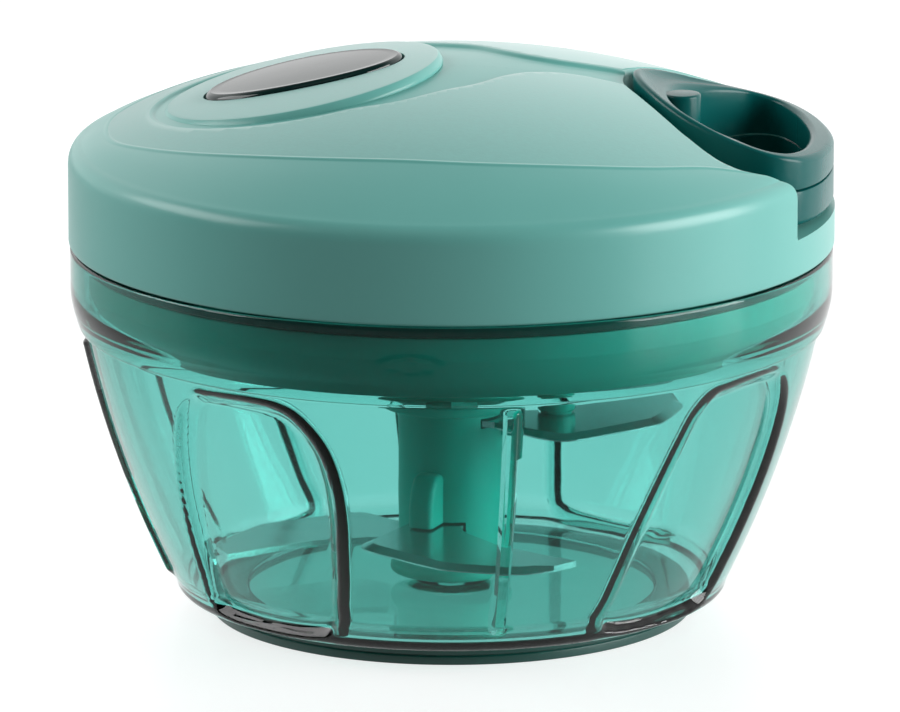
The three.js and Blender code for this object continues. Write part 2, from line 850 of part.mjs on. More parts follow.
const aboveSeam = disc(lidRadius, seamHigh, lidTop, smallSides).translate([anchorX, 0, 0]);
const handleCuts = [cordHole, knotPocket, ...handleScrewHoles];
const handleUpper = cut(
  fused(handleHalf(seamHigh, slopedTopAt, scoopedTopAt, 1), anchor.intersect(aboveSeam)),
  ...handleCuts,
);
const handleBottomAt = () => handleBottom;
const handleLower = cut(
  fused(handleHalf(seamLow, handleBottomAt, handleBottomAt, -1), anchor.intersect(belowSeam)),
  ...handleCuts,
);
const handleScrew = screw(handleScrewRadius, handleScrewLength, handleScrewHeadRadius, handleScrewHeadHeight);

// Cord: its winding, the run to the guide, the lead into the handle and the knot
class Winding extends THREE.Curve {
  getPoint(share, target = new THREE.Vector3()) {
    const angle = windingEnd - (1 - share) * cordTurns * turn;
    const height = windingBottom + share * cordTurns * cordPitch;
    return target.set(windingRadius * Math.cos(angle), windingRadius * Math.sin(angle), height);
  }
}

const windingEnd = -Math.acos(windingRadius / cordBendX) - gap / windingRadius;
const windingRoute = new Winding();
const windingSteps = cordTurns * cordStepsPerTurn;
const cordWinding = cordTube(windingRoute, windingSteps);
const turnSteps = windingRoute.getPoint(0).distanceTo(windingRoute.getPoint(1 / cordTurns));
console.log(`least gap between turns of the cord: ${(turnSteps - cordRadius * 2).toFixed(2)} mm`);

const tangentLength = Math.sqrt(cordBendX * cordBendX - windingRadius * windingRadius);
const windingClear = windingRadius + cordRadius * 2 + gap;
const startShare = Math.sqrt(windingClear * windingClear - windingRadius * windingRadius) / tangentLength;
const tangentPoint = new THREE.Vector3(
  windingRadius * Math.cos(windingEnd),
  windingRadius * Math.sin(windingEnd),
  windingTop,
);
const bendPoint = new THREE.Vector3(cordBendX, 0, handleSeam);
const cordRoute = new THREE.CurvePath();
const runStart = tangentPoint.clone().lerp(bendPoint, startShare);
const bendStart = bendPoint.clone().add(runStart.clone().sub(bendPoint).setLength(cordBendLength));
const bendEnd = new THREE.Vector3(cordBendX + cordBendLength, 0, handleSeam);
cordRoute.add(new THREE.LineCurve3(runStart, bendStart));
cordRoute.add(new THREE.QuadraticBezierCurve3(bendStart, bendPoint, bendEnd));
cordRoute.add(new THREE.LineCurve3(bendEnd, new THREE.Vector3(guideEndX, 0, handleSeam)));
const cordRun = cordTube(cordRoute, cordRunSteps);
const leadLength = knotX - knotRadius - guideEndX - gap * 2;
const cordLead = disc(cordRadius, 0, leadLength, cordSides).rotate([0, 90, 0]);
const cordKnot = solid(new THREE.SphereGeometry(knotRadius, smallSides, smallSides / 2));
const cordGuide = turned(
  [
    [cordRadius + gap, -guideFlangeThickness],
    [guideFlangeRadius, -guideFlangeThickness],
    [guideFlangeRadius, 0],
    [guideRadius, 0],
    [guideRadius, guideEndX - guideFlangeX],
    [cordRadius + gap, guideEndX - guideFlangeX],
    [cordRadius + gap, -guideFlangeThickness],
  ],
  smallSides,
).rotate([0, 90, 0]);

// Drum and its cap, arbor and recoil spring
const spindleBore = spindleRadius + gap;
const pawlAngles = [];
for (let i = 0; i < pawlCount; i++) pawlAngles.push((i * 360) / pawlCount);
const spoolBody = turned(
  [
    [spindleBore, spoolBottom],
    [flangeRadius, spoolBottom],
    [flangeRadius, drumBottom],
    [drumRadius, drumBottom],
    [drumRadius, upperFlangeBottom],
    [flangeRadius, upperFlangeBottom],
    [flangeRadius, spoolTop],
    [cavityRadius, spoolTop],
    [cavityRadius, cavityFloor],
    [spindleBore, cavityFloor],
    [spindleBore, spoolBottom],
  ],
);
const pawlPins = pawlAngles.map((degrees) =>
  disc(pawlPinRadius, ratchetBottom + gap * 2, spoolBottom + sink, smallSides)
    .translate([...polar(degrees, pawlCircle), 0]),
);
const spool = fused(spoolBody, ...pawlPins);
const spoolCap = turned(
  [
    [arborRadius + gap, spoolCapBottom],
    [cavityRadius - gap - drumWall, spoolCapBottom],
    [cavityRadius - gap - drumWall, spoolCapBottom - spoolCapSpigot],
    [cavityRadius - gap, spoolCapBottom - spoolCapSpigot],
    [cavityRadius - gap, spoolCapBottom],
    [spoolCapRadius, spoolCapBottom],
    [spoolCapRadius, spoolCapTop],
    [arborRadius + gap, spoolCapTop],
    [arborRadius + gap, spoolCapBottom],
  ],
);
const springArbor = ring(spindleBore, arborRadius, cavityFloor + gap, arborTop);
const spindle = disc(spindleRadius, spindleBottom, spindleTop, smallSides);

function springOutline() {
  const inside = [];
  const outside = [];
  const steps = springTurns * springStepsPerTurn;
  for (let i = 0; i <= steps; i++) {
    const radius = lerp(arborRadius + springSideGap, cavityRadius - springSideGap - springStrip, i / steps);
    const degrees = (i * 360) / springStepsPerTurn;
    inside.push(polar(degrees, radius));
    outside.push(polar(degrees, radius + springStrip));
  }
  return [...outside, ...inside.reverse()];
}

const recoilSpring = prism(springOutline(), cavityFloor + gap, spoolCapBottom - spoolCapSpigot - gap);

// Drive hub with its ratchet ring, and the pawls
function ratchetOutline() {
  const outline = [];
  const pitch = 360 / ratchetTeeth;
  const step = pawlReachDegrees + pawlFaceDegrees;
  for (let i = 0; i < ratchetTeeth; i++) {
    const start = step + i * pitch;
    outline.push(polar(start, ratchetTipRadius));
    outline.push(polar(start + pitch / 2, ratchetTipRadius + ratchetToothDepth / 2));
    outline.push(polar(start + pitch * ratchetStepShare, ratchetTipRadius + ratchetToothDepth));
  }
  return outline;
}

const hexTurn = 360 / hexSides / 2;
const hubStem = disc(hubRadius, hubBottom, ratchetBottom);
const hubFlange = disc(hubFlangeRadius, hubFlangeBottom, ratchetBottom + sink);
const ratchetRing = disc(hubFlangeRadius, ratchetBottom, ratchetTop)
  .subtract(prism(ratchetOutline(), ratchetBottom - overrun, ratchetTop + overrun));
const hubSocket = disc(stemRadius + gap, hubBottom - overrun, stemTop + stemEndGap, hexSides)
  .rotate([0, 0, hexTurn]);
const hubBore = disc(spindleBore, spindleBottom - gap, ratchetTop, smallSides);
const driveHub = cut(fused(hubStem, hubFlange, ratchetRing), hubSocket, hubBore);

function pawlOutline() {
  const tipOut = new THREE.Vector2(...polar(pawlReachDegrees, pawlTipRadius));
  const tipIn = new THREE.Vector2(...polar(pawlReachDegrees, pawlTipRadius - pawlTipWidth));
  const pivot = new THREE.Vector2(pawlCircle, 0);
  const lean = THREE.MathUtils.radToDeg(tipOut.clone().sub(pivot).angle());
  const outline = [];
  for (let degrees = 90; degrees <= 270; degrees += 30) {
    outline.push(polar(lean + degrees, pawlEyeRadius));
  }
  return [...outline, tipOut.sub(pivot).toArray(), tipIn.sub(pivot).toArray()];
}

const pawl = prism(pawlOutline(), 0, pawlThickness)
  .subtract(disc(pawlPinRadius + gap, -overrun, pawlThickness + overrun, smallSides));

// Blades: one sickle shape, with its tip on the +X axis
function bladeOutline() {
  const edge = bladeEdgeDegrees.map((degrees, i) => polar(degrees, bladeEdgeShares[i] * bladeReach));
  const back = bladeBackDegrees.map((degrees, i) => polar(degrees, bladeBackShares[i] * bladeReach));
  const root = (radius, side) => {
    const [x, y] = polar(bladeRootDegrees, radius);
    const [sideX, sideY] = polar(bladeRootDegrees + 90, side * bladeRootHalfWidth);
    return [x + sideX, y + sideY];
  };
  return [
    root(bladeRootRadius, -1),
    root(bladeNeckRadius, -1),
    ...edge,
    ...back,
    root(bladeNeckRadius, 1),
    root(bladeRootRadius, 1),
  ];
}

const blade = prism(bladeOutline(), 0, bladeThickness);
const upperTip = bladeTipDegrees.at(-1);
const upperBottom = bladeHeights.at(-1) - bladeThickness / 2;
const studHole = disc(studRadius + gap, -overrun, bladeThickness + overrun, smallSides)
  .translate([studX, 0, 0])
  .rotate([0, 0, armDegrees - upperTip]);
const bladeWithHole = blade.subtract(studHole);

// Blade column with a fin, and an arm that carries a stud through the upper blade
const armTop = upperBottom - gap;
const armLine = [
  [0, -studRingRadius],
  [studX, -studRingRadius],
  [studX, studRingRadius],
  [0, studRingRadius],
];
const studTop = columnTop + studTopRise;
const studRingBottom = upperBottom + bladeThickness + gap;
const studBody = fused(
  prism(armLine, armTop - armThickness, armTop),
  disc(studRingRadius, armTop - armThickness, armTop, smallSides).translate([studX, 0, 0]),
  disc(studRingRadius, studRingBottom, studRingBottom + studRingHeight, smallSides).translate([studX, 0, 0]),
).rotate([0, 0, armDegrees]);
const finPrism = prism(
  [
    [0, finBottom],
    [columnRadius, finBottom],
    [finReach, finBottom + finHalfWidth],
    [finReach, finTop - finReach + columnRadius],
    [lerp(columnRadius, finReach, 1 / 2), finTop],
    [0, finTop],
  ],
  -finHalfWidth,
  finHalfWidth,
)
  .rotate([90, 0, 0])
  .rotate([0, 0, finDegrees]);
const columnBody = turned([
  [0, columnBottom],
  [columnRadius + columnFootFlare, columnBottom],
  [columnRadius + columnFootFlare, columnBottom + columnFootHeight / 2],
  [columnRadius, columnBottom + columnFootHeight],
  [columnRadius, columnTop],
  [0, columnTop],
]);
const columnBore = disc(bushRadius + gap, columnBottom - overrun, columnBottom + columnBoreDepth);
const capSocket = disc(capSpigotRadius + gap, columnTop - capSpigotDepth, columnTop + overrun);
const bladeSlots = bladeHeights.map((height, i) => {
  const slot = grown(bladeOutline(), gap);
  return prism(slot, height - bladeThickness / 2 - gap, height + bladeThickness / 2 + gap)
    .rotate([0, 0, bladeTipDegrees[i]]);
});
const stud = disc(studRadius, armTop - sink, studTop, smallSides)
  .translate([studX, 0, 0])
  .rotate([0, 0, armDegrees]);
const columnSolid = fused(columnBody, finPrism, studBody);
const column = fused(cut(columnSolid, columnBore, capSocket, ...bladeSlots), stud);
const columnBush = ring(bowlPinRadius + gap, bushRadius, 0, bushHeight, smallSides);
const capBody = turned([
  [0, columnTop - capSpigotDepth + gap],
  [capSpigotRadius, columnTop - capSpigotDepth + gap],
  [capSpigotRadius, columnTop + gap],
  [capRadius, columnTop + gap],
  [capRadius, stemBottom],
  [capRadius * capShoulderShare, stemBottom + capDome / 2],
  [capRadius / 2, stemBottom + capDome],
  [0, stemBottom + capDome],
]);
const stem = disc(stemRadius, stemBottom, stemTop, hexSides).rotate([0, 0, hexTurn]);
const columnCap = fused(capBody, stem);

// The pieces, each a named mesh in the group of the body that it moves with
function group(parent, name) {
  const made = new THREE.Group();
  made.name = name;
  parent.add(made);
  return made;
}

function piece(parent, name, body, look) {
  const mesh = new THREE.Mesh(geometryOf(body), new THREE.MeshStandardMaterial(look));
  mesh.name = name;
  parent.add(mesh);
  return mesh;
}

const mint = { color: 0x83bfb3, roughness: 0.5, metalness: 0 };
const clearTeal = { color: 0x3fa893, roughness: 0.08, metalness: 0, transparent: true, opacity: 0.45 };
const tealPlastic = { color: 0x2f9a86, roughness: 0.3, metalness: 0 };
const darkTeal = { color: 0x0b4a45, roughness: 0.18, metalness: 0 };
const footRubber = { color: 0x12463f, roughness: 0.6, metalness: 0 };
const sealRubber = { color: 0x1d4f4a, roughness: 0.7, metalness: 0 };
const steel = { color: 0xb9bec1, roughness: 0.25, metalness: 1 };
const innerPlastic = { color: 0xd8dcda, roughness: 0.5, metalness: 0 };
const cordFibre = { color: 0xe9e6da, roughness: 0.9, metalness: 0 };

const chopper = new THREE.Group();
const bowlGroup = group(chopper, "bowl_group");
const lidGroup = group(chopper, "lid_group");
const bladeGroup = group(bowlGroup, "blade_group");
const handleGroup = group(lidGroup, "handle_group");
const spoolGroup = group(lidGroup, "spool_group");

piece(bowlGroup, "bowl", bowl, clearTeal);
piece(bowlGroup, "base_ring", baseRing, footRubber);
piece(bowlGroup, "bowl_pin", bowlPin, steel).position.z = pinSeatBottom;

piece(bladeGroup, "blade_column", column, tealPlastic);
piece(bladeGroup, "column_cap", columnCap, tealPlastic);
piece(bladeGroup, "column_bush", columnBush, innerPlastic).position.z = columnBottom + gap;
["blade_lower", "blade_middle", "blade_upper"].forEach((name, i) => {
  const mesh = piece(bladeGroup, name, i === bladeHeights.length - 1 ? bladeWithHole : blade, steel);
  mesh.position.z = bladeHeights[i] - bladeThickness / 2;
  mesh.rotation.z = radians(bladeTipDegrees[i]);
});

piece(lidGroup, "lid_cover", lidCover, mint);
piece(lidGroup, "badge_plate", badgePlate, darkTeal);
piece(lidGroup, "lid_base", lidBase, mint);
piece(lidGroup, "lid_seal", lidSeal, sealRubber).position.z = sealBottom;
screwPlaces.forEach(([x, y], i) => {
  piece(lidGroup, `lid_screw_${i + 1}`, lidScrew, steel).position.set(x, y, screwSeat);
});
piece(lidGroup, "spindle", spindle, steel);
piece(lidGroup, "spring_arbor", springArbor, innerPlastic);
piece(lidGroup, "recoil_spring", recoilSpring, steel);
piece(lidGroup, "cord_run", cordRun, cordFibre);
piece(lidGroup, "cord_guide", cordGuide, steel).position.set(guideFlangeX, 0, handleSeam);
piece(lidGroup, "drive_hub", driveHub, innerPlastic);

piece(spoolGroup, "spool", spool, innerPlastic);
piece(spoolGroup, "spool_cap", spoolCap, innerPlastic);
piece(spoolGroup, "cord_winding", cordWinding, cordFibre);
pawlAngles.forEach((degrees, i) => {
  const mesh = piece(spoolGroup, `pawl_${i + 1}`, pawl, steel);
  mesh.position.set(...polar(degrees, pawlCircle), ratchetBottom + gap);
  mesh.rotation.z = radians(degrees);
});

piece(handleGroup, "handle_upper", handleUpper, darkTeal);
piece(handleGroup, "handle_lower", handleLower, darkTeal);
handleScrewPlaces.forEach(([x, y], i) => {
  piece(handleGroup, `handle_screw_${i + 1}`, handleScrew, steel).position.set(x, y, handleScrewSeat);
});
piece(handleGroup, "cord_lead", cordLead, cordFibre).position.set(guideEndX + gap, 0, handleSeam);
piece(handleGroup, "cord_knot", cordKnot, cordFibre).position.set(knotX, 0, handleSeam);

export default chopper;
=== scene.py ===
import math

import bpy
import numpy as np
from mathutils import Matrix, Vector


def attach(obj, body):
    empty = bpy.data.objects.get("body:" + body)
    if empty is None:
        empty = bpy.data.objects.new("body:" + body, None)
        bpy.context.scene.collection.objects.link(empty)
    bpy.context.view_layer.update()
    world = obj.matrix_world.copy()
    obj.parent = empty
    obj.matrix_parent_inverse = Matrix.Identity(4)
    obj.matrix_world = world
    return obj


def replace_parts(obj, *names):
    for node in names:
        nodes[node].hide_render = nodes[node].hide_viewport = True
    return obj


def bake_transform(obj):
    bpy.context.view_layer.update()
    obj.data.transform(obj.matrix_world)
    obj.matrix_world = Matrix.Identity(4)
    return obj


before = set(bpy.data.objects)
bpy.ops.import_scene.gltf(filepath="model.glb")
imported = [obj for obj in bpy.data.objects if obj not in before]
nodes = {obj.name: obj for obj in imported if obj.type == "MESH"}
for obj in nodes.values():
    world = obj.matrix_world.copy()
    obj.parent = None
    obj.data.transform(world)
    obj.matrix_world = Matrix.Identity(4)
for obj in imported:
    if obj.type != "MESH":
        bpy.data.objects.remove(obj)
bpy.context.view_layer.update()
MM = 0.001
GAP = 0.3
TAU = math.tau
ABOVE = 100.0  # a height over everything

# Sizes, in millimetres, as in the CAD model
LID_R, LID_BOTTOM, LID_WALL, LID_EDGE = 62.5, 61.5, 2.3, 0.5
SHOULDER, SHOULDER_ROUND, SHOULDER_LIFT = 76.6, 2.2, 0.35
CROWN, CROWN_DROP = 91.5, 14.5
CROWN_R = LID_R**2 / (2 * CROWN_DROP)
FACET_BULGE, CREST, CREST_REACH = 0.5, 0.16, 0.6
RIDGE_DEG = [0, 11, 23, 33, 47, 63, 80, 94, 112, 129, 141, 149, 156, 180]
RIDGE_SHARE = [0.9, 0.893, 0.852, 0.815, 0.766, 0.728, 0.71, 0.72, 0.753, 0.81, 0.861, 0.928, 0.953, 0.96]
BOSS_X, BOSS_R, BOSS_RISE, BOSS_TILT, BOSS_DISH = -24.2, 22.7, 0.35, 0.028, 0.45
BOSS_ROOT, BOSS_SLOPE, BOSS_ROUND = 1.6, 0.35, 0.3
BADGE_X, BADGE_A, BADGE_B, BADGE_PROUD, BADGE_T, BADGE_BEVEL = -24.0, 16.1, 10.6, 0.6, 1.5, 0.95
HOLLOW, HOLLOW_MARGIN = 0.7, 1.8
LIP, LIP_WALL = 0.7, 1.4
TUB_WALL, TUB_SWELL = 1.7, 1.2
TIP_X, END_X, HALF = 29.5, 62.3, 23.2
H_BOTTOM, H_SEAM, H_TIP_Z, H_END_Z, H_SAG, H_ROUND = 68.3, 74.2, 89.77, 79.0, 2.0, 1.2
H_SCOOP, H_SLOPE, SEAM_HALF = 1.3, 0.2, 0.15
HOLE_TIP, HOLE_END, HOLE_HALF = 35.4, 58.2, 21.4
ANCHOR_X, ANCHOR_R, ANCHOR_PROUD = 37.6, 3.0, 0.8
KNOT_X, KNOT_R, CORD_R, CORD_START = 32.9, 1.9, 0.9, 28.7
FLOOR_Z = H_BOTTOM - 0.6
SCREW_R, SCREW_DEG, SCREW_BORE = 49, (58, 140, 220, 302), 1.75
HANDLE_SCREWS = [(33.4, -5.5), (33.4, 5.5)]


# Mesh helpers
def smoothstep(low, high, value):
    share = np.clip((value - low) / (high - low), 0, 1)
    return share * share * (3 - 2 * share)


def bezier(a, b, c, t):
    return (1 - t) ** 2 * a + 2 * t * (1 - t) * b + t * t * c


def hermite(a, slope_a, b, slope_b, t):
    return ((2 * t**3 - 3 * t**2 + 1) * a + (t**3 - 2 * t**2 + t) * slope_a + (3 * t**2 - 2 * t**3) * b
            + (t**3 - t**2) * slope_b)


def quarter(shares):
    """Sine and cosine at shares of a quarter turn."""
    return [(math.sin(t * math.pi / 2), math.cos(t * math.pi / 2)) for t in shares]


def polar(degrees, radius):
    return radius * math.cos(math.radians(degrees)), radius * math.sin(math.radians(degrees))


def turned_xy(points, degrees):
    c, s = polar(degrees, 1)
    x, y = np.asarray(points, float).T
    return np.c_[x * c - y * s, x * s + y * c]


def linked(name, data):
    made = bpy.data.objects.new(name, data)
    bpy.context.scene.collection.objects.link(made)
    return made


def new_object(name, points, faces, body=None, sharp=32):
    mesh = bpy.data.meshes.new(name)
    mesh.from_pydata((np.asarray(points, float) * MM).tolist(), [], [list(f) for f in faces])
    mesh.validate()
    made = linked(name, mesh)
    shade(made, sharp)
    if body:
        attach(made, body)
    return made


def shade(piece, sharp=32):
    mesh = piece.data
    mesh.polygons.foreach_set("use_smooth", [True] * len(mesh.polygons))
    mesh.set_sharp_from_angle(angle=math.radians(sharp))
    mesh.update()


def skin(rows, wrap=False):
    """Points and faces of a surface whose rows run round and close. A row of one point becomes a pole."""
    rows = np.asarray(rows, float)
    count, around = rows.shape[:2]
    points, index = [], []
    for row in rows:
        if np.ptp(row, axis=0).max() < 1e-9:
            index.append(np.full(around, len(points)))
            points.append(row[0])
        else:
            index.append(np.arange(around) + len(points))
            points.extend(row)
    faces = []
    for j in range(count if wrap else count - 1):
        low, high = index[j].tolist(), index[(j + 1) % count].tolist()
        for i in range(around):
            k = (i + 1) % around
            faces.append(dict.fromkeys((low[i], low[k], high[k], high[i])))
    return points, faces


def round_corners(profile, radius, steps=4):
    """The [r, z] profile with its inner corners rounded."""
    profile = [np.array(p, float) for p in profile]
    out = [profile[0]]
    for before, corner, after in zip(profile, profile[1:], profile[2:]):
        ways = before - corner, after - corner
        reach = [np.linalg.norm(way) for way in ways]
        arm = min(radius, *(0.45 * length for length in reach))
        start, end = (corner + way / max(length, 1e-9) * arm for way, length in zip(ways, reach))
        out += [bezier(start, corner, end, t) for t in np.linspace(0, 1, steps)]
    return out + [profile[-1]]


def lathe(name, profile, body=None, sides=120, radius=0.25, closed=False, x=0.0, y=0.0, z=0.0, axis="Z"):
    """The [r, z] profile turned round an upright axis, or round the X axis, with its corners rounded."""
    if closed:
        middle = (np.array(profile[0]) + np.array(profile[-1])) / 2
        profile = round_corners([middle] + profile + [middle], radius)[:-1]
    elif radius:
        profile = round_corners(profile, radius)
    angle = np.arange(sides) / sides * TAU
    rows = [np.stack([r * np.cos(angle), r * np.sin(angle), np.full(sides, h)], 1) for r, h in profile]
    points, faces = skin(rows, wrap=closed)
    points = np.array(points)
    if axis == "X":
        points = points[:, [2, 0, 1]]
    return new_object(name, points + [x, y, z], faces, body)


def rod(name, radius, low, high, sides=48, edge=0, **place):
    """A straight round bar. edge rounds its two rims."""
    profile = [(0, low), (radius, low), (radius, high), (0, high)]
    return lathe(name, profile, radius=edge, sides=sides, **place)


def prism(name, outline, low, high):
    """An upright prism over a closed outline, between two heights."""
    outline = np.asarray(outline, float)
    count = len(outline)
    points = np.vstack([np.c_[outline, np.full(count, float(z))] for z in (low, high)])
    faces = [list(range(count))[::-1], list(range(count, 2 * count))]
    faces += [(i, (i + 1) % count, (i + 1) % count + count, i + count) for i in range(count)]
    return new_object(name, points, faces)


def combine(base, operation, *others, sharp=32):
    """The base after a Boolean operation with each of the others, which are used up."""
    for other in others:
        modifier = base.modifiers.new("join", "BOOLEAN")
        modifier.operation = operation
        modifier.solver = "MANIFOLD"
        modifier.object = other
        bpy.context.view_layer.update()
        made = bpy.data.meshes.new_from_object(base.evaluated_get(bpy.context.evaluated_depsgraph_get()))
        base.modifiers.clear()
        if len(made.polygons) == 0:
            raise RuntimeError("nothing left of " + base.name)
        made.name = base.name
        base.data = made
        bpy.data.objects.remove(other)
    shade(base, sharp)
    return base


def catmull(loop, count):
    """A closed centripetal Catmull-Rom curve through the points of a loop."""
    loop = np.asarray(loop, float)
    out = []
    for k in range(count):
        place = k / count * len(loop)
        i = int(place)
        t = place - i
        p0, p1, p2, p3 = (loop[(i + s) % len(loop)] for s in (-1, 0, 1, 2))
        d0, d1, d2 = (max(np.linalg.norm(b - a), 1e-6) ** 0.5 for a, b in ((p0, p1), (p1, p2), (p2, p3)))
        m1 = ((p1 - p0) / d0 - (p2 - p0) / (d0 + d1) + (p2 - p1) / d1) * d1
        m2 = ((p2 - p1) / d1 - (p3 - p1) / (d1 + d2) + (p3 - p2) / d2) * d1
        out.append(hermite(p1, m1, p2, m2, t))
    return np.array(out)


def mirrored(start, end, half, shares, count):
    """A smooth closed outline with mirrored sides, from shares of its length and half width."""
    side = [(start + a * (end - start), -b * half) for a, b in shares]
    return catmull([(start, 0)] + side + [(end, 0)] + [(x, -y) for x, y in reversed(side)], count)


def grown(loop, margin):
    """A closed outline moved outwards by a margin."""
    loop = np.asarray(loop, float)
    before = loop - np.roll(loop, 1, 0)
    after = np.roll(loop, -1, 0) - loop
    before /= np.linalg.norm(before, axis=1)[:, None]
    after /= np.linalg.norm(after, axis=1)[:, None]
    way = before + after
    way /= np.linalg.norm(way, axis=1)[:, None]
    reach = margin / (way * after).sum(1)
    return loop + np.c_[way[:, 1], -way[:, 0]] * reach[:, None]


def signed_distance(x, y, loop):
    """Distance from points to a closed outline, negative inside it."""
    x, y = np.asarray(x, float), np.asarray(y, float)
    best = np.full(x.shape, 1e9)
    inside = np.zeros(x.shape, bool)
    for (ax, ay), (bx, by) in zip(loop, np.roll(loop, -1, 0)):
        ex, ey = bx - ax, by - ay
        t = np.clip(((x - ax) * ex + (y - ay) * ey) / max(ex * ex + ey * ey, 1e-12), 0, 1)
        best = np.minimum(best, (x - ax - t * ex) ** 2 + (y - ay - t * ey) ** 2)
        cross = (ay > y) != (by > y)
        with np.errstate(divide="ignore", invalid="ignore"):
            inside ^= cross & (x < ex * (y - ay) / (ey if ey else 1e-12) + ax)
    return np.sqrt(best) * np.where(inside, -1, 1)


# Lid cover
def crown(x, y):
    return CROWN - (x * x + y * y) / (2 * CROWN_R)


def boss_top(x, y):
    """The boss leans a little towards the lid's rim and is slightly dished."""
    share = ((x - BOSS_X) ** 2 + y * y) / BOSS_R**2
    return crown(x, y) + BOSS_RISE + BOSS_TILT * (x - BOSS_X) - BOSS_DISH * (1 - np.minimum(share, 1))


RECESS_SHARES = [(0, 0.15), (0.07, 0.34), (0.155, 0.535), (0.285, 0.79), (0.43, 0.965), (0.54, 1),
                 (0.66, 0.955), (0.78, 0.92), (1, 0.915)]
RECESS_TIP, RECESS_HALF = TIP_X - 1.2, HALF + 7.4


def recess_outline(margin):
    half = [(RECESS_TIP + a * (LID_R - RECESS_TIP), -b * RECESS_HALF) for a, b in RECESS_SHARES]
    half.append((LID_R + 12, -RECESS_SHARES[-1][1] * RECESS_HALF))
    points = half + [(x, -y) for x, y in reversed(half)]
    return grown(catmull(points, len(points) * 30), margin)


HOLLOW_SHARES = [(0.28, 0.9), (0.43, 0.71), (0.52, 0.59), (0.61, 0.37), (0.69, 0.24), (0.8, 0.17)]


def hollow_outline():
    """Round the boss, then narrowing towards the handle's tip."""
    wide = BOSS_R + HOLLOW_MARGIN
    half = [(BOSS_X + x, y) for x, y in (polar(degrees, wide) for degrees in range(174, 68, -6))]
    half += [(BOSS_X + a * (TIP_X - BOSS_X), b * wide) for a, b in HOLLOW_SHARES]
    half.append((TIP_X + 6, RECESS_SHARES[0][1] * RECESS_HALF))
    return catmull([(BOSS_X - wide, 0)] + [(x, -y) for x, y in half] + half[::-1], 240)


RECESS = recess_outline(0)
HOLLOW_LOOP = hollow_outline()


def ridge_reach(degrees_from_back):
    xs, ys = np.array(RIDGE_DEG, float), np.array(RIDGE_SHARE)
    slopes = np.gradient(ys, xs)
    slopes[0] = slopes[-1] = 0
    k = np.clip(np.searchsorted(xs, degrees_from_back) - 1, 0, len(xs) - 2)
    h = xs[k + 1] - xs[k]
    t = (degrees_from_back - xs[k]) / h
    return hermite(ys[k], h * slopes[k], ys[k + 1], h * slopes[k + 1], t)


def ridge_radius(x, r):
    """How far out the ridge lies in the direction of a point at x and radius r."""
    return ridge_reach(np.degrees(np.arccos(np.clip(-x / np.maximum(r, 1e-6), -1, 1)))) * LID_R


def lid_top(x, y):
    """Height of the lid's top without its boss, hollow and rounded shoulder."""
    r = np.hypot(x, y)
    ridge = ridge_radius(x, r)
    rim_r, rim_z = LID_R - SHOULDER_ROUND, SHOULDER + SHOULDER_ROUND / 2
    t = (r - rim_r) / np.minimum(ridge - rim_r, -0.5)
    bulge = FACET_BULGE * 2 * np.clip(t, 0, 1) * (1 - np.clip(t, 0, 1))
    facet = rim_z + (crown(ridge, 0) - rim_z) * np.maximum(t, -1) + bulge
    return np.where(r < ridge, crown(r, 0), facet)


def shoulder_arc(radius, shoulder, t):
    """A point on the rounded shoulder, from the wall at 0 to the facet at 1."""
    z = bezier(shoulder - SHOULDER_ROUND, shoulder + SHOULDER_LIFT, shoulder + SHOULDER_ROUND / 2, t)
    return bezier(radius, radius, radius - SHOULDER_ROUND, t), z


CREST_ROWS = [1.5, 1.1, 0.8, 0.62, 0.48, 0.36, 0.25, 0.14, 0.0]


def lid_solid(name, inset, sides, crown_rows, fine):
    """The lid's outer form, drawn in by inset. A fine one has a rounded lower edge and crisp ridges."""
    angle = np.arange(sides) / sides * TAU
    cx, cy = np.cos(angle), np.sin(angle)
    radius, shoulder = LID_R - inset, SHOULDER - inset
    bottom = LID_BOTTOM - (6 if inset else 0)
    ridge = ridge_radius(cx, 1) - inset
    ridge_z = crown(ridge, 0) - inset
    rows = []

    def add(r, z):
        r, z = np.broadcast_to(r, sides), np.broadcast_to(z, sides)
        rows.append(np.stack([r * cx, r * cy, z], 1))

    for r in (0, radius * 0.5, radius - LID_EDGE):
        add(r, bottom)
    if fine:
        for across, up in quarter((0.25, 0.5, 0.75)):
            add(radius - LID_EDGE + LID_EDGE * across, bottom + LID_EDGE - LID_EDGE * up)
    for t in np.linspace(0, 1, 12 if fine else 3):
        add(radius, bottom + LID_EDGE + t * (shoulder - SHOULDER_ROUND - bottom - LID_EDGE))
    for t in np.linspace(0, 1, 14 if fine else 4)[1:]:
        add(*shoulder_arc(radius, shoulder, t))
    top_z = shoulder + SHOULDER_ROUND / 2
    width = np.maximum(radius - SHOULDER_ROUND, ridge + 0.2) - ridge
    rise = CREST if fine else 0
    crest = CREST_ROWS if fine else [0.0]
    near = np.minimum(crest[0], width * 0.6)
    outs = [width + (near - width) * t for t in np.linspace(0, 1, 20 if fine else 5)[1:]]
    for out in outs + [near * c / crest[0] for c in crest[1:]]:
        t = 1 - out / width
        z = top_z + (ridge_z - top_z) * t + FACET_BULGE * 2 * t * (1 - t)
        add(ridge + out, z + rise * (1 - smoothstep(0, CREST_REACH, out)))
    for gone in crest[-2::-1]:
        add(ridge - gone, crown(ridge - gone, 0) - inset + rise * (1 - smoothstep(0, CREST_REACH, gone)))
    start = ridge - crest[0]
    for share in np.linspace(1, 0, crown_rows)[1:-1]:
        add(start * share, crown(start * share, 0) - inset)
    add(0, CROWN - inset)
    return new_object(name, *skin(rows), sharp=50)


# Margins from the hollow's outline, and the share of its depth there
HOLLOW_EDGE = [(-0.9, 1), (-0.65, 0.97), (-0.45, 0.88), (-0.28, 0.74), (-0.12, 0.58), (0.06, 0.42),
               (0.26, 0.27), (0.48, 0.15), (0.72, 0.07), (1.0, 0.01), (1.25, -0.12)]


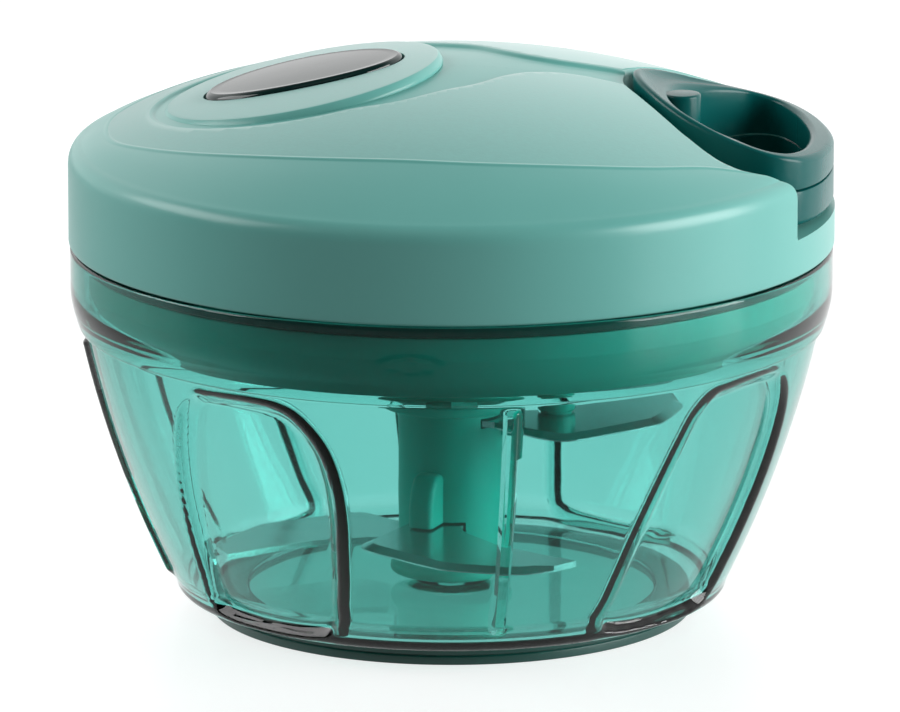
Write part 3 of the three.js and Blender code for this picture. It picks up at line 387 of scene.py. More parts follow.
def lid_hollow():
    """Cutter of the smooth hollow round the boss, with soft edges."""
    middle = np.array([BOSS_X, 0.0])
    rows = []
    for share in np.linspace(0, 1, 26)[:-1]:
        loop = middle + (grown(HOLLOW_LOOP, HOLLOW_EDGE[0][0]) - middle) * share
        rows.append(np.c_[loop, crown(loop[:, 0], loop[:, 1]) - HOLLOW])
    for margin, drop in HOLLOW_EDGE:
        loop = grown(HOLLOW_LOOP, margin)
        rows.append(np.c_[loop, crown(loop[:, 0], loop[:, 1]) - HOLLOW * drop])
    loop = grown(HOLLOW_LOOP, 1.3)
    rows.append(np.c_[loop, np.full(len(loop), ABOVE)])
    rows.append(np.tile([BOSS_X, 0.0, ABOVE], (len(loop), 1)))
    return new_object("hollow_cut", *skin(rows))


def boss():
    """The round boss with a sloping, rounded side."""
    angle = np.arange(240) / 240 * TAU
    edge_r = BOSS_R - BOSS_SLOPE
    side = [(0, -BOSS_ROOT), (15, -BOSS_ROOT), (BOSS_R + 0.1, -BOSS_ROOT), (BOSS_R + 0.1, -1.1),
            (BOSS_R, -0.95), (edge_r, -BOSS_ROUND)]
    for t in np.linspace(0, 1, 7)[1:]:
        side.append((edge_r - 0.45 * t**0.8, -BOSS_ROUND + BOSS_ROUND * math.sin(t * math.pi / 2)))
    side += [(r, 0) for r in (21.2, *range(20, -1, -2))]
    rows = []
    for r, rise in side:
        x, y = BOSS_X + r * np.cos(angle), r * np.sin(angle)
        rows.append(np.stack([x, y, boss_top(x, y) + rise], 1))
    return new_object("boss", *skin(rows))


def depth_in_lid(x, y, z):
    """How deep points lie under the lid's wall, rounded shoulder, facet and crown."""
    r = np.hypot(x, y)
    ridge = ridge_radius(x, r)
    ring = [(LID_R, LID_BOTTOM)] + [shoulder_arc(LID_R, SHOULDER, t) for t in np.linspace(0, 1, 9)]
    ring += [(ridge * share, crown(ridge * share, 0)) for share in (1, 0.9, 0.8, 0.7, 0.6, 0.5, 0.4, 0.2, 0)]
    best = np.full(r.shape, 99.0)
    for (ar, az), (br, bz) in zip(ring, ring[1:]):
        er, ez = br - ar, bz - az
        t = np.clip(((r - ar) * er + (z - az) * ez) / (er * er + ez * ez), 0, 1)
        away = np.hypot(r - ar - t * er, z - az - t * ez)
        within = er * (z - az) - ez * (r - ar) > 0
        closer = away < np.abs(best)
        best = np.where(closer, np.where(within, away, -away), best)
    return best


RECESS_MIDDLE = (45.0, 0.0)
RECESS_DROPS = (5, 4, 3.2, 2.6, 2.2, 1.9, 1.6, 1.35, 1.1, 0.9, 0.7, 0.55, 0.4, 0.28, 0.18, 0.1, 0.04, 0,
                -0.3)


def recess_cut():
    """Cutter of the handle's recess. The edge that it leaves is rounded, more so at the lid's wall."""
    loop = RECESS
    step = grown(loop, 1.0) - loop
    reach = np.hypot(loop[:, 0], loop[:, 1])
    lip = LIP + (LIP_WALL - LIP) * smoothstep(46, 60, reach)
    top = lid_top(loop[:, 0], loop[:, 1])
    rows = []

    def add(height, closed=0.0):
        depth = np.clip(depth_in_lid(loop[:, 0], loop[:, 1], height), 0, lip)
        margin = lip - np.sqrt(np.maximum(lip**2 - (lip - depth) ** 2, 0)) + closed
        rows.append(np.c_[loop + step * margin[:, None], height])

    low = np.full(len(loop), FLOOR_Z)
    rows.append(np.tile([*RECESS_MIDDLE, FLOOR_Z], (len(loop), 1)))
    add(low, closed=-0.5)
    add(low + 0.5)
    for drop in RECESS_DROPS:
        add(top - drop)
    rows.append(np.c_[rows[-1][:, :2], np.full(len(loop), ABOVE)])
    rows.append(np.tile([*RECESS_MIDDLE, ABOVE], (len(loop), 1)))
    return new_object("recess_cut", *skin(rows))


def oval(name, grow, low, high, bevel, body=None):
    """A plate over the badge's oval. low and high are heights over the boss, bevel the width of its rim."""
    angle = np.arange(240) / 240 * TAU
    a, b = BADGE_A + grow, BADGE_B + grow
    steps = [(share, 0, low) for share in (0, 0.3, 0.6, 0.85, 1)]
    if bevel:
        steps += [(1, 0, high - 1.15)]
        for turn in np.linspace(0, 1.25, 9):
            steps.append((1, (bevel - 0.2) * (1 - math.cos(turn)), high - 1.1 + 1.05 * math.sin(turn)))
        steps += [(1, bevel - 0.2, high + 0.02), (1, bevel - 0.1, high + 0.05), (1, bevel, high + 0.02)]
        steps += [(share, bevel, high) for share in (0.9, 0.75, 0.5, 0.25, 0)]
    else:
        steps += [(share, 0, high) for share in (1, 0.5, 0)]
    rows = []
    for share, inset, rise in steps:
        x = BADGE_X + (a - inset) * share * np.cos(angle)
        y = (b - inset) * share * np.sin(angle)
        rows.append(np.stack([x, y, boss_top(x, y) + rise], 1))
    return new_object(name, *skin(rows), body=body, sharp=40)


SCREWS = [polar(degrees, SCREW_R) for degrees in SCREW_DEG]
# Posts and bores of the lid, as radius, low end and high end
SPINDLE_POST, SPINDLE_BORE, GUIDE_BORE = (5, 82.05, 90), (2.8, 81, 86.3), (2.9, 24.5, 34)
SCREW_POST, SCREW_HOLE = (3.6, 62.9, 79.5), (SCREW_BORE, 56, 69.6)


def lid_cover():
    cover = lid_solid("lid_shell", 0, 480, 36, True)
    combine(cover, "DIFFERENCE", lid_hollow())
    combine(cover, "UNION", boss())
    wall = TUB_WALL + TUB_SWELL * smoothstep(46, 56, np.hypot(RECESS[:, 0], RECESS[:, 1]))
    tub = prism("tub", RECESS + (grown(RECESS, 1.0) - RECESS) * wall[:, None], FLOOR_Z - TUB_WALL, 96)
    combine(tub, "INTERSECT", lid_solid("tub_limit", 0.2, 120, 10, False))
    combine(tub, "DIFFERENCE", lid_hollow())
    combine(cover, "DIFFERENCE", lid_solid("lid_inside", LID_WALL, 160, 14, False))
    posts = [rod("post", *SCREW_POST, x=x, y=y) for x, y in SCREWS]
    combine(cover, "UNION", tub, rod("post", *SPINDLE_POST), *posts)
    cutters = [
        recess_cut(),
        oval("badge_cut", GAP, BADGE_PROUD - BADGE_T - GAP, 6, 0),
        rod("spindle_cut", *SPINDLE_BORE),
        rod("guide_cut", *GUIDE_BORE, axis="X", z=H_SEAM),
    ]
    cutters += [rod("screw_cut", *SCREW_HOLE, 32, x=x, y=y) for x, y in SCREWS]
    combine(cover, "DIFFERENCE", *cutters, sharp=38)
    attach(cover, "lid_body")
    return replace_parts(cover, "lid_cover")


cover = lid_cover()
badge = oval("badge", 0, BADGE_PROUD - BADGE_T, BADGE_PROUD, BADGE_BEVEL, "lid_body")
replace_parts(badge, "badge_plate")


# Handle
HANDLE_SHARES = [(0.02, 0.19), (0.1, 0.45), (0.21, 0.66), (0.36, 0.83), (0.52, 0.95), (0.68, 1),
                 (0.8, 0.92), (0.9, 0.71), (0.97, 0.38)]
HOLE_SHARES = [(0.02, 0.22), (0.1, 0.46), (0.24, 0.68), (0.42, 0.87), (0.62, 1), (0.78, 0.95),
               (0.9, 0.72), (0.97, 0.4)]


def handle_top(x):
    """Height of the rim's crest, and how far it dips to its inner and its outer edge."""
    share = np.clip((x - TIP_X) / (END_X - TIP_X), 0, 1)
    crest = H_TIP_Z + (H_END_Z - H_TIP_Z) * share - H_SAG * 4 * share * (1 - share)
    return crest, H_SCOOP * np.maximum(0, 1 - 2 * share), H_SLOPE * np.maximum(0, 2 * share - 1)


def handle_half(name, flat, upper):
    """One half of the ring, from its flat face at the seam round its rounded outer edges."""
    count = 300
    outer = mirrored(TIP_X, END_X, HALF, HANDLE_SHARES, count)
    inner = mirrored(HOLE_TIP, HOLE_END, HOLE_HALF, HOLE_SHARES, count)
    width = np.linalg.norm(inner - outer, axis=1)
    around_edge = np.minimum(H_ROUND, width / 3)
    rows = []

    def add(inset, drop, seam=None):
        xy = outer + (inner - outer) * (inset / width)[:, None]
        if seam is not None:
            rows.append(np.c_[xy, np.full(count, seam)])
            return
        share = np.clip((inset - around_edge) / np.maximum(width - 2 * around_edge, 0.01), 0, 1)
        if upper:
            crest, scoop, slope = handle_top(xy[:, 0])
            z = crest - scoop * (1 - (1 - share) ** 2) - slope * (1 - share) - drop
        else:
            z = H_BOTTOM + drop
        rows.append(np.c_[xy, z])

    away = 1 if upper else -1
    zero = np.zeros(count)
    add(zero + 0.25, 0, seam=flat)
    add(zero + 0.05, 0, seam=flat + 0.07 * away)
    add(zero, 0, seam=flat + 0.25 * away)
    add(zero, zero + 3)
    add(zero, zero + 2.2)
    for turn in np.linspace(0, math.pi / 2, 9):
        add(around_edge * (1 - math.cos(turn)), around_edge * (1 - math.sin(turn)))
    for share in (0.08, 0.18, 0.3, 0.45, 0.6, 0.75, 0.9):
        add(around_edge + (width - 2 * around_edge) * share, zero)
    for turn in np.linspace(math.pi / 2, 0, 9):
        add(width - around_edge * (1 - math.cos(turn)), around_edge * (1 - math.sin(turn)))
    add(width, zero + 2.2)
    add(width, zero + 3)
    add(width, 0, seam=flat)
    if not upper:
        rows = rows[::-1]
    points, faces = skin(rows, wrap=True)
    return new_object(name, points, faces, sharp=50)


# Screw holes of the handle: radius at the head and at the thread, and depth over the head's seat
HEAD_BORE, THREAD_BORE, THREAD_DEPTH, HEAD_HEIGHT = 1.8, 1.3, 7.3, 1.2


def handle():
    crest, scoop, _ = handle_top(ANCHOR_X)
    low, high = H_SEAM - SEAM_HALF, H_SEAM + SEAM_HALF
    upper = handle_half("handle_top_half", high, True)
    lower = handle_half("handle_bottom_half", low, False)
    post_top = float(crest - scoop) + ANCHOR_PROUD
    combine(upper, "UNION", rod("anchor", ANCHOR_R, high, post_top, 64, 0.5, x=ANCHOR_X))
    combine(lower, "UNION", rod("anchor", ANCHOR_R, H_BOTTOM + 0.5, low, 64, x=ANCHOR_X))
    seat = H_BOTTOM + GAP + HEAD_HEIGHT + GAP
    pocket = KNOT_R + GAP
    screw_hole = [(0, seat - 8), (HEAD_BORE, seat - 8), (HEAD_BORE, seat), (THREAD_BORE, seat),
                  (THREAD_BORE, seat + THREAD_DEPTH), (0, seat + THREAD_DEPTH)]
    for half, name in ((upper, "handle_upper"), (lower, "handle_lower")):
        cuts = [rod("cord_cut", CORD_R + GAP, 20, KNOT_X, 32, axis="X", z=H_SEAM),
                rod("knot_cut", pocket, -pocket, pocket, 32, x=KNOT_X, z=H_SEAM)]
        cuts += [lathe("screw_cut", screw_hole, radius=0, sides=32, x=x, y=y) for x, y in HANDLE_SCREWS]
        combine(half, "DIFFERENCE", *cuts, sharp=50)
        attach(half, "handle_body")
        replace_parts(half, name)
    return upper, lower


handle_upper, handle_lower = handle()


# Bowl
BOWL_TURN = 9.2
BOWL_WALL, BOWL_FLOOR, BOWL_UNDER = 2.3, 4.6, 1.6
HEEL_R, HEEL_Z0, HEEL_Z1, HEEL_ROUND = 45.3, 3.5, 5.3, 1.8
LEDGE_R, LEDGE_Z, LEDGE_ROUND = 60.3, 48.1, 0.35
COLLAR_R, COLLAR_START, COLLAR_RISE = 62.3, LEDGE_R + 0.85, 5.8
MOUTH_R, RIM_Z, RIM_ROUND = 60, 60.7, 0.5
FLOOR_ROUND, PIN_BOSS_R, PIN_BOSS_Z = 3.5, 6.2, 6.0
PANEL_HALF, PANEL_LOW, PANEL_RISE, PANEL_DEPTH = 18, 5.6, 40.8, 2.2
PANEL_SLOPE_OUT, PANEL_SLOPE_IN = (-0.2, 2.3), (-1.0, 1.5)
RIB_PROUD, RIB_HALF = 0.8, (0.75, 1.25)
OVAL_DEG, OVAL_Z, OVAL_A, OVAL_B, OVAL_PROUD = -96, 54.8, 4.5, 1.6, 0.35
PANEL = np.array([(-0.99, 0), (-1, 0.16), (-0.98, 0.36), (-0.93, 0.53), (-0.85, 0.69), (-0.76, 0.82),
                  (-0.66, 0.92), (-0.5, 0.985), (-0.3, 1), (0.36, 1), (0.56, 0.97), (0.72, 0.9),
                  (0.82, 0.82), (0.87, 0.71), (0.86, 0.55), (0.78, 0.36), (0.66, 0.16), (0.5, 0)])
PANEL_SMOOTH = catmull(np.c_[PANEL[:, 0] * PANEL_HALF, PANEL_LOW + PANEL[:, 1] * PANEL_RISE][::-1], 160)


def wall_r(z):
    """Radius of the bowl's outside under the ledge."""
    belly = HEEL_R + 0.7 * (LEDGE_R - HEEL_R)
    return bezier(HEEL_R, belly, LEDGE_R, (z - HEEL_Z1) / (LEDGE_Z - HEEL_Z1))


def bowl():
    sides = 640
    phi = np.arange(sides) / sides * 360 - 90  # plan angle from +X
    c, s = np.cos(np.radians(phi)), np.sin(np.radians(phi))
    rows = []

    def away_from(degrees):
        return (phi - degrees + 180) % 360 - 180

    def around(r, z, outward):
        """How far the panels, ribs and small oval move the wall in or out at one height."""
        move = np.zeros(sides)
        if HEEL_Z0 < z < LEDGE_Z + 0.2:
            for k in range(4):
                centre = BOWL_TURN - 135 + k * 90
                off = away_from(centre)
                near = np.abs(off) < 40
                inside = np.full(sides, -99.0)
                along, level = r * np.radians(off[near]), np.full(near.sum(), z)
                inside[near] = -signed_distance(along, level, PANEL_SMOOTH)
                move -= PANEL_DEPTH * smoothstep(*(PANEL_SLOPE_OUT if outward else PANEL_SLOPE_IN), inside)
                if outward:
                    ends = smoothstep(6.5, 8, z) * (1 - smoothstep(46.2, 47.3, z))
                    rib = np.abs(r * np.radians(away_from(centre + 45)))
                    move += RIB_PROUD * ends * (1 - smoothstep(*RIB_HALF, rib))
        if outward and 51 < z < 58:
            ring = np.hypot(r * np.radians(away_from(OVAL_DEG)) / OVAL_A, (z - OVAL_Z) / OVAL_B)
            move += OVAL_PROUD * np.exp(-(((ring - 1) * 2.2) ** 2) * 6)
        return move

    def add(r, z, outward=None):
        r = np.full(sides, float(r))
        if outward is not None:
            r = r + around(float(r[0]), z, outward)
        rows.append(np.stack([r * c, r * s, np.full(sides, float(z))], 1))

    for r in (0, 20, 33.3):
        add(r, BOWL_UNDER)
    for r, z in ((33.5, 1.8), (33.5, 3.3), (33.7, 3.5), (38, 3.5)):
        add(r, z)
    for across, up in quarter(np.linspace(0, 1, 9)):
        add(HEEL_R - HEEL_ROUND + HEEL_ROUND * across, HEEL_Z0 + HEEL_ROUND - HEEL_ROUND * up, True)
    for z in np.linspace(HEEL_Z1, LEDGE_Z - 0.15, 100)[1:]:
        add(wall_r(z), z, True)
    add(LEDGE_R + 0.1, LEDGE_Z)
    add(LEDGE_R + 0.55, LEDGE_Z)
    for across, up in quarter((0.3, 0.6, 1)):
        add(LEDGE_R + 0.5 + LEDGE_ROUND * across, LEDGE_Z + LEDGE_ROUND - LEDGE_ROUND * up)
    shares = np.linspace(0.06, 1, 10)
    for t, (across, _) in zip(shares, quarter(shares)):
        add(COLLAR_START + (COLLAR_R - COLLAR_START) * across, LEDGE_Z + LEDGE_ROUND + t * COLLAR_RISE, True)
    for z in np.linspace(54.4, 60.6, 22):
        add(COLLAR_R, z, True)
    for up, across in quarter((0.33, 0.66, 1)):
        add(COLLAR_R - RIM_ROUND + RIM_ROUND * across, RIM_Z + RIM_ROUND * up)
    add(MOUTH_R + RIM_ROUND, RIM_Z + RIM_ROUND)
    for across, up in quarter((0.33, 0.66, 1)):
        add(MOUTH_R + RIM_ROUND - RIM_ROUND * across, RIM_Z + RIM_ROUND * up)
    for z in np.linspace(60, 54.2, 6):
        add(MOUTH_R, z)
    ledge_in = wall_r(LEDGE_Z) - BOWL_WALL
    for t in np.linspace(1, 0, 10)[1:]:
        add(ledge_in + (MOUTH_R - ledge_in) * smoothstep(0, 1, t), LEDGE_Z + t * 6.0)
    floor_edge = BOWL_FLOOR + FLOOR_ROUND
    for z in np.linspace(LEDGE_Z, floor_edge, 92)[1:]:
        add(wall_r(z) - BOWL_WALL, z, False)
    base = wall_r(floor_edge) - BOWL_WALL
    for up, across in quarter(np.linspace(0, 1, 10)[1:]):
        add(base - FLOOR_ROUND + FLOOR_ROUND * across, floor_edge - FLOOR_ROUND * up, False)
    for r in (38, 30, 20, 10, PIN_BOSS_R):
        add(r, BOWL_FLOOR)
    for t in np.linspace(0, 1, 5)[1:]:
        add(PIN_BOSS_R - t, BOWL_FLOOR + (PIN_BOSS_Z - BOWL_FLOOR) * t * t)
    for r, z in ((3, PIN_BOSS_Z), (2.6, PIN_BOSS_Z), (2.5, 5.9), (2.5, 3.6), (2.4, 3.5), (0, 3.5)):
        add(r, z)
    made = new_object("bowl_glass", *skin(rows), body="bowl_body", sharp=42)
    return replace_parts(made, "bowl")


bowl_glass = bowl()
FOOT_PROFILE = [(33.8, 0), (39.6, 0), (39.6, 1.45), (39.3, 1.6), (39.6, 1.75), (39.6, 3.2), (33.8, 3.2)]
foot = lathe("foot", FOOT_PROFILE, "bowl_body", 240, 0.35, closed=True)
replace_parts(foot, "base_ring")
pin = rod("centre_pin", 2.2, 3.8, 19.8, 64, 0.5, body="bowl_body")
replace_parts(pin, "bowl_pin")

# Closing plate with its skirt, seal and screws
SKIRT_PROFILE = [(8.2, 57.4), (11.2, 57.4), (11.2, 60.6), (56.5, 60.6), (56.5, 55.2), (54.5, 49.2),
                 (57.2, 49.2), (58.2, 52.2), (59.2, 55.2), (59.2, 58.9), (57.9, 58.9), (57.9, 61.2),
                 (59.2, 61.2), (59.2, 61.5), (59.9, 61.5), (59.9, 63.1), (57.9, 63.1), (57.9, 62.6),
                 (8.2, 62.6)]
skirt = lathe("skirt", SKIRT_PROFILE, None, 240, 0.25, closed=True)
combine(skirt, "DIFFERENCE", *[rod("cut", SCREW_BORE, 55, 70, 32, x=x, y=y) for x, y in SCREWS])
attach(skirt, "lid_body")
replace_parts(skirt, "lid_base")
SEAL_PROFILE = [(58.2, 59.2), (59.7, 59.2), (59.7, 60.9), (58.2, 60.9)]
seal = lathe("seal", SEAL_PROFILE, "lid_body", 240, 0.3, closed=True)
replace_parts(seal, "lid_seal")


SLOT_SHARE, SLOT_HALF, SLOT_DEPTH = 0.62, 0.28, 0.6
# Seat of the head, shank radius, length, head radius and head height
LID_SCREW, HANDLE_SCREW = (60.3, 1.45, 9, 2.8, 1.2), (69.8, 1.0, 7, 1.5, HEAD_HEIGHT)


def screw(name, node, body, x, y, z, shank, length, head, height):
    """A cross-head screw that stands head down, the seat of its head at z."""
    made = lathe(name, [(0, z - height), (head * 0.8, z - height), (head, z - height * 0.6), (head, z),
                        (shank, z), (shank, z + length - 1), (0, z + length)], None, 48, 0.12, x=x, y=y)
    reach = head * SLOT_SHARE
    for turn in (0, 90):
        bar = [(-reach, -SLOT_HALF), (reach, -SLOT_HALF), (reach, SLOT_HALF), (-reach, SLOT_HALF)]
        bar = turned_xy(bar, turn) + [x, y]
        combine(made, "DIFFERENCE", prism("slot", bar, z - height - 1, z - height + SLOT_DEPTH))
    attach(made, body)
    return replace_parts(made, node)


screws = [screw(f"plate_screw_{i}", f"lid_screw_{i}", "lid_body", *place, *LID_SCREW)
          for i, place in enumerate(SCREWS, 1)]
screws += [screw(f"ring_screw_{i}", f"handle_screw_{i}", "handle_body", *place, *HANDLE_SCREW)
           for i, place in enumerate(HANDLE_SCREWS, 1)]

# Blade column, its cap and the blades
HEX = 4.8
BLADE_R, BLADE_HALF, GRIND, GRIND_LOW = 38.8, 0.5, 1.7, 0.22
TANG_DEG, TANG_HALF, TANG_IN, TANG_OUT = -42, 4.4, 5.8, 9.6
EDGE_DEG = [-65, -59.5, -42, -32, -25, -10, -4, 0, 7]
EDGE_SHARE = [0.515, 0.652, 0.747, 0.838, 0.902, 0.99, 1, 0.995, 0.967]
ARM_X, ARM_TOP, ARM_LOW, ARM_HALF, STUD_R = 17.2, 31.5, 29.5, 3.1, 2.6
COLLAR_LOW, COLLAR_TOP, STUD_TOP = 33.1, 35.8, 37.6
COLUMN_R, COLUMN_TOP, COLUMN_BORE = 8.7, 34, 4.3
FIN_HALF, FIN_DEG = 2.1, -113
FIN = [(0, 11), (COLUMN_R, 11), (13.4, 13.1), (13.4, 19.7), (12.4, 22.6), (11, 24.4), (0, 24.4)]
BLADES = [("steel_blade_low", "blade_lower", 10.5, -173), ("steel_blade_mid", "blade_middle", 15.4, -65),
          ("steel_blade_high", "blade_upper", 32.3, 18)]


def blade_loop():
    """A blade's outline: tang, sickle edge and back, and which points are the first and last of the edge."""
    edge = [polar(d, share * BLADE_R) for d, share in zip(EDGE_DEG, EDGE_SHARE)]
    back = [polar(-6, 0.606 * BLADE_R), polar(-16, 0.361 * BLADE_R)]
    side = np.array(polar(TANG_DEG + 90, TANG_HALF))
    low = [np.array(polar(TANG_DEG, r)) - side for r in (TANG_IN, TANG_OUT)]
    high = [np.array(polar(TANG_DEG, r)) + side for r in (TANG_OUT, TANG_IN)]
    return np.array([*low, *edge, *back, *high]), len(low), len(low) + len(edge) - 2


def blade(name, node, height, tip, hole=False):
    """A flat blade, ground thin along its edge. Its hole takes the stud of the column's arm."""
    loop, first, last = blade_loop()
    fine = []
    count = len(loop)
    for i in range(count):
        steps = 6 if first <= i < last - 1 else 1
        p0, p1, p2, p3 = (loop[(i + s) % count] for s in (-1, 0, 1, 2))
        for t in np.arange(steps) / steps:
            curve = 0.5 * (2 * p1 + (p2 - p0) * t + (2 * p0 - 5 * p1 + 4 * p2 - p3) * t * t
                           + (3 * p1 - p0 - 3 * p2 + p3) * t**3)
            fine.append((*(curve if steps > 1 else p1), 1.0 if first <= i <= last - 1 else 0.0))
    fine = np.array(fine)
    n = len(fine)
    inner = fine[:, :2] + (grown(fine[:, :2], -1.0) - fine[:, :2]) * (fine[:, 2:] * GRIND)
    low, high = turned_xy(fine[:, :2], tip), turned_xy(inner, tip)
    levels = ((low, -BLADE_HALF), (low, -BLADE_HALF + GRIND_LOW), (high, BLADE_HALF))
    points = np.vstack([np.c_[xy, np.full(n, height + rise)] for xy, rise in levels])
    faces = [list(range(n))[::-1], list(range(2 * n, 3 * n))]
    for level in (0, 1):
        here, above = level * n, (level + 1) * n
        faces += [(here + i, here + (i + 1) % n, above + (i + 1) % n, above + i) for i in range(n)]
    made = new_object(name, points, faces, None, 20)
    if hole:
        combine(made, "DIFFERENCE", rod("cut", STUD_R + GAP, 20, 40, x=ARM_X), sharp=20)
    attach(made, "blades_body")
    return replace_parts(made, node)


blades = [blade(*facts, hole=i == 2) for i, facts in enumerate(BLADES)]


def column():
    made = lathe("column", [(0, 6.4), (10, 6.4), (10, 7.8), (8.9, 9.2), (COLUMN_R, 10),
                            (COLUMN_R, COLUMN_TOP), (0, COLUMN_TOP)], None, 128, 0.5)
    count = len(FIN)
    fin_points = np.array([(x, y, z) for y in (-FIN_HALF, FIN_HALF) for x, z in FIN], float)
    fin_points[:, :2] = turned_xy(fin_points[:, :2], FIN_DEG)
    faces = [list(range(count)), list(range(count, 2 * count))[::-1]]
    faces += [(i + count, (i + 1) % count + count, (i + 1) % count, i) for i in range(count)]
    plate = new_object("fin", fin_points, faces)
    bevel = plate.modifiers.new("round", "BEVEL")
    bevel.width, bevel.segments = 0.9 * MM, 3
    combine(made, "UNION", plate)
    arm = [(0, -ARM_HALF), (ARM_X, -ARM_HALF), (ARM_X, ARM_HALF), (0, ARM_HALF)]
    combine(made, "UNION", prism("arm", arm, ARM_LOW, ARM_TOP),
            rod("eye", ARM_HALF, ARM_LOW, ARM_TOP, 64, 0.2, x=ARM_X),
            rod("stud", STUD_R, ARM_TOP - 1, STUD_TOP, 64, 0.6, x=ARM_X),
            rod("collar", ARM_HALF, COLLAR_LOW, COLLAR_TOP, 64, 0.4, x=ARM_X))
    loop = grown(blade_loop()[0], GAP)
    room = BLADE_HALF + GAP
    cuts = [rod("cut", COLUMN_BORE, 0, 21.4, 64), rod("cut", COLUMN_BORE, 30.4, 40, 64)]
    cuts += [prism("slot", turned_xy(loop, tip), height - room, height + room)
             for _, _, height, tip in BLADES[:2]]
    slot = prism("slot", turned_xy(loop, BLADES[2][3]), ARM_TOP, COLLAR_LOW)
    combine(slot, "DIFFERENCE", rod("keep", STUD_R + 0.1, 20, 40, 64, x=ARM_X))
    combine(made, "DIFFERENCE", *cuts, slot, sharp=35)
    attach(made, "blades_body")
    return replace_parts(made, "blade_column")


def hexagon(radius):
    return np.array([polar(30 + 60 * i, radius) for i in range(6)])


column_body = column()
CAP_PROFILE = [(0, 30.7), (4, 30.7), (4, 34.3), (12, 34.3), (12, 36.2), (10.8, 37.1), (8.6, 38), (6, 38.6),
               (0, 38.7)]
cap = lathe("cap", CAP_PROFILE, None, 128, 0.6)
combine(cap, "UNION", prism("stem", hexagon(HEX), 37, 57.2), sharp=30)
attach(cap, "blades_body")
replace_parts(cap, "column_cap")
bush = lathe("bush", [(2.5, 6.7), (4, 6.7), (4, 12.7), (2.5, 12.7)], "blades_body", 64, 0.2, closed=True)
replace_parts(bush, "column_bush")

# Drive hub, with the tip, middle and root of each ratchet tooth as degrees from its start and a radius
TEETH, TEETH_START, TOOTH = 12, 28.4, [(0, 11.1), (15, 11.7), (29.1, 12.3)]


def hub():
    made = lathe("hub", [(0, 50.8), (7.9, 50.8), (7.9, 62.9), (14.5, 62.9), (14.5, 67.9), (0, 67.9)],
                 None, 128, 0.3)
    teeth = [polar(TEETH_START + i * 360 / TEETH + a, r) for i in range(TEETH) for a, r in TOOTH]
    combine(made, "DIFFERENCE", prism("cut", teeth, 64.5, 80), prism("cut", hexagon(HEX + GAP), 40, 58.4),
            rod("cut", 2.8, 60, 70))
    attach(made, "hub_body")
    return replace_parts(made, "drive_hub")


drive = hub()


# Cord from the lid to the handle, built as a fixed tube. The real cord pays out as the handle is pulled.
def cord_lead():
    start, end = CORD_START, KNOT_X - KNOT_R - GAP
    angle = np.arange(16) / 16 * TAU
    rings = [(start, 0), *((x, CORD_R) for x in np.linspace(start, end, 360)), (end, 0)]
    rows = [np.stack([np.full(16, x), r * np.cos(angle), H_SEAM + r * np.sin(angle)], 1) for x, r in rings]
    made = new_object("pull_cord", *skin(rows), sharp=60)
    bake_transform(made)
    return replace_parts(made, "cord_lead")


lead = cord_lead()


# Materials
def feed(tree, node, **inputs):
    """Set a node's inputs, each to a value or to another node's output. Underlines stand for spaces."""
    for name, value in inputs.items():
        socket = node.inputs[name.replace("_", " ")]
        if isinstance(value, bpy.types.NodeSocket):
            tree.links.new(value, socket)
        else:
            socket.default_value = value
    return node


def add_node(tree, kind, output, **inputs):
    return feed(tree, tree.nodes.new("ShaderNode" + kind), **inputs).outputs[output]


def tinted(tree, factor, low, high):
    node = tree.nodes.new("ShaderNodeMix")
    node.data_type = "RGBA"
    return feed(tree, node, A=(*low, 1), B=(*high, 1), Factor=factor).outputs["Result"]


def join_shaders(tree, kind, *parts):
    node = tree.nodes.new("ShaderNode" + kind)
    for part, socket in zip(parts, node.inputs):
        tree.links.new(part, socket)
    return node.outputs["Shader"]


def new_material(name):
    made = bpy.data.materials.new(name)
    made.use_nodes = True
    return made, made.node_tree, made.node_tree.nodes["Principled BSDF"]


def material(name, slot, color, roughness, metallic=0.0, vary=0.06, vary_scale=60, bump=0.0, bump_scale=900,
             bump_distance=0.0001, rough_vary=0.06, stretch=(1, 1, 1), ior=1.5):
    """An opaque finish whose colour and roughness vary a little, with a fine relief where bump isn't 0."""
    made, tree, shader = new_material(name)
    place = add_node(tree, "Mapping", "Vector", Vector=add_node(tree, "TexCoord", "Object"), Scale=stretch)
    noise = add_node(tree, "TexNoise", "Fac", Vector=place, Scale=vary_scale, Detail=4)
    tint = tinted(tree, noise, [c * (1 - vary) for c in color], [min(c * (1 + vary), 1) for c in color])
    spread = add_node(tree, "MapRange", "Result", Value=noise, To_Min=max(roughness - rough_vary, 0.01),
                      To_Max=min(roughness + rough_vary, 1))
    feed(tree, shader, Metallic=metallic, IOR=ior, Base_Color=tint, Roughness=spread)
    if bump:
        grain = add_node(tree, "TexNoise", "Fac", Vector=place, Scale=bump_scale, Detail=2)
        feed(tree, shader, Normal=add_node(tree, "Bump", "Normal", Height=grain, Strength=bump,
                                           Distance=bump_distance))
    made["slot"] = slot
    return made


CLEAR_TINT, CLEAR_SHADOW = (0.93, 0.98, 0.975), (0.93, 0.99, 0.98)
CLEAR_ROUGHNESS, CLEAR_IOR = 0.02, 1.45
SOAK_COLOR, SOAK_DENSITY = (0.05, 0.72, 0.665), 400


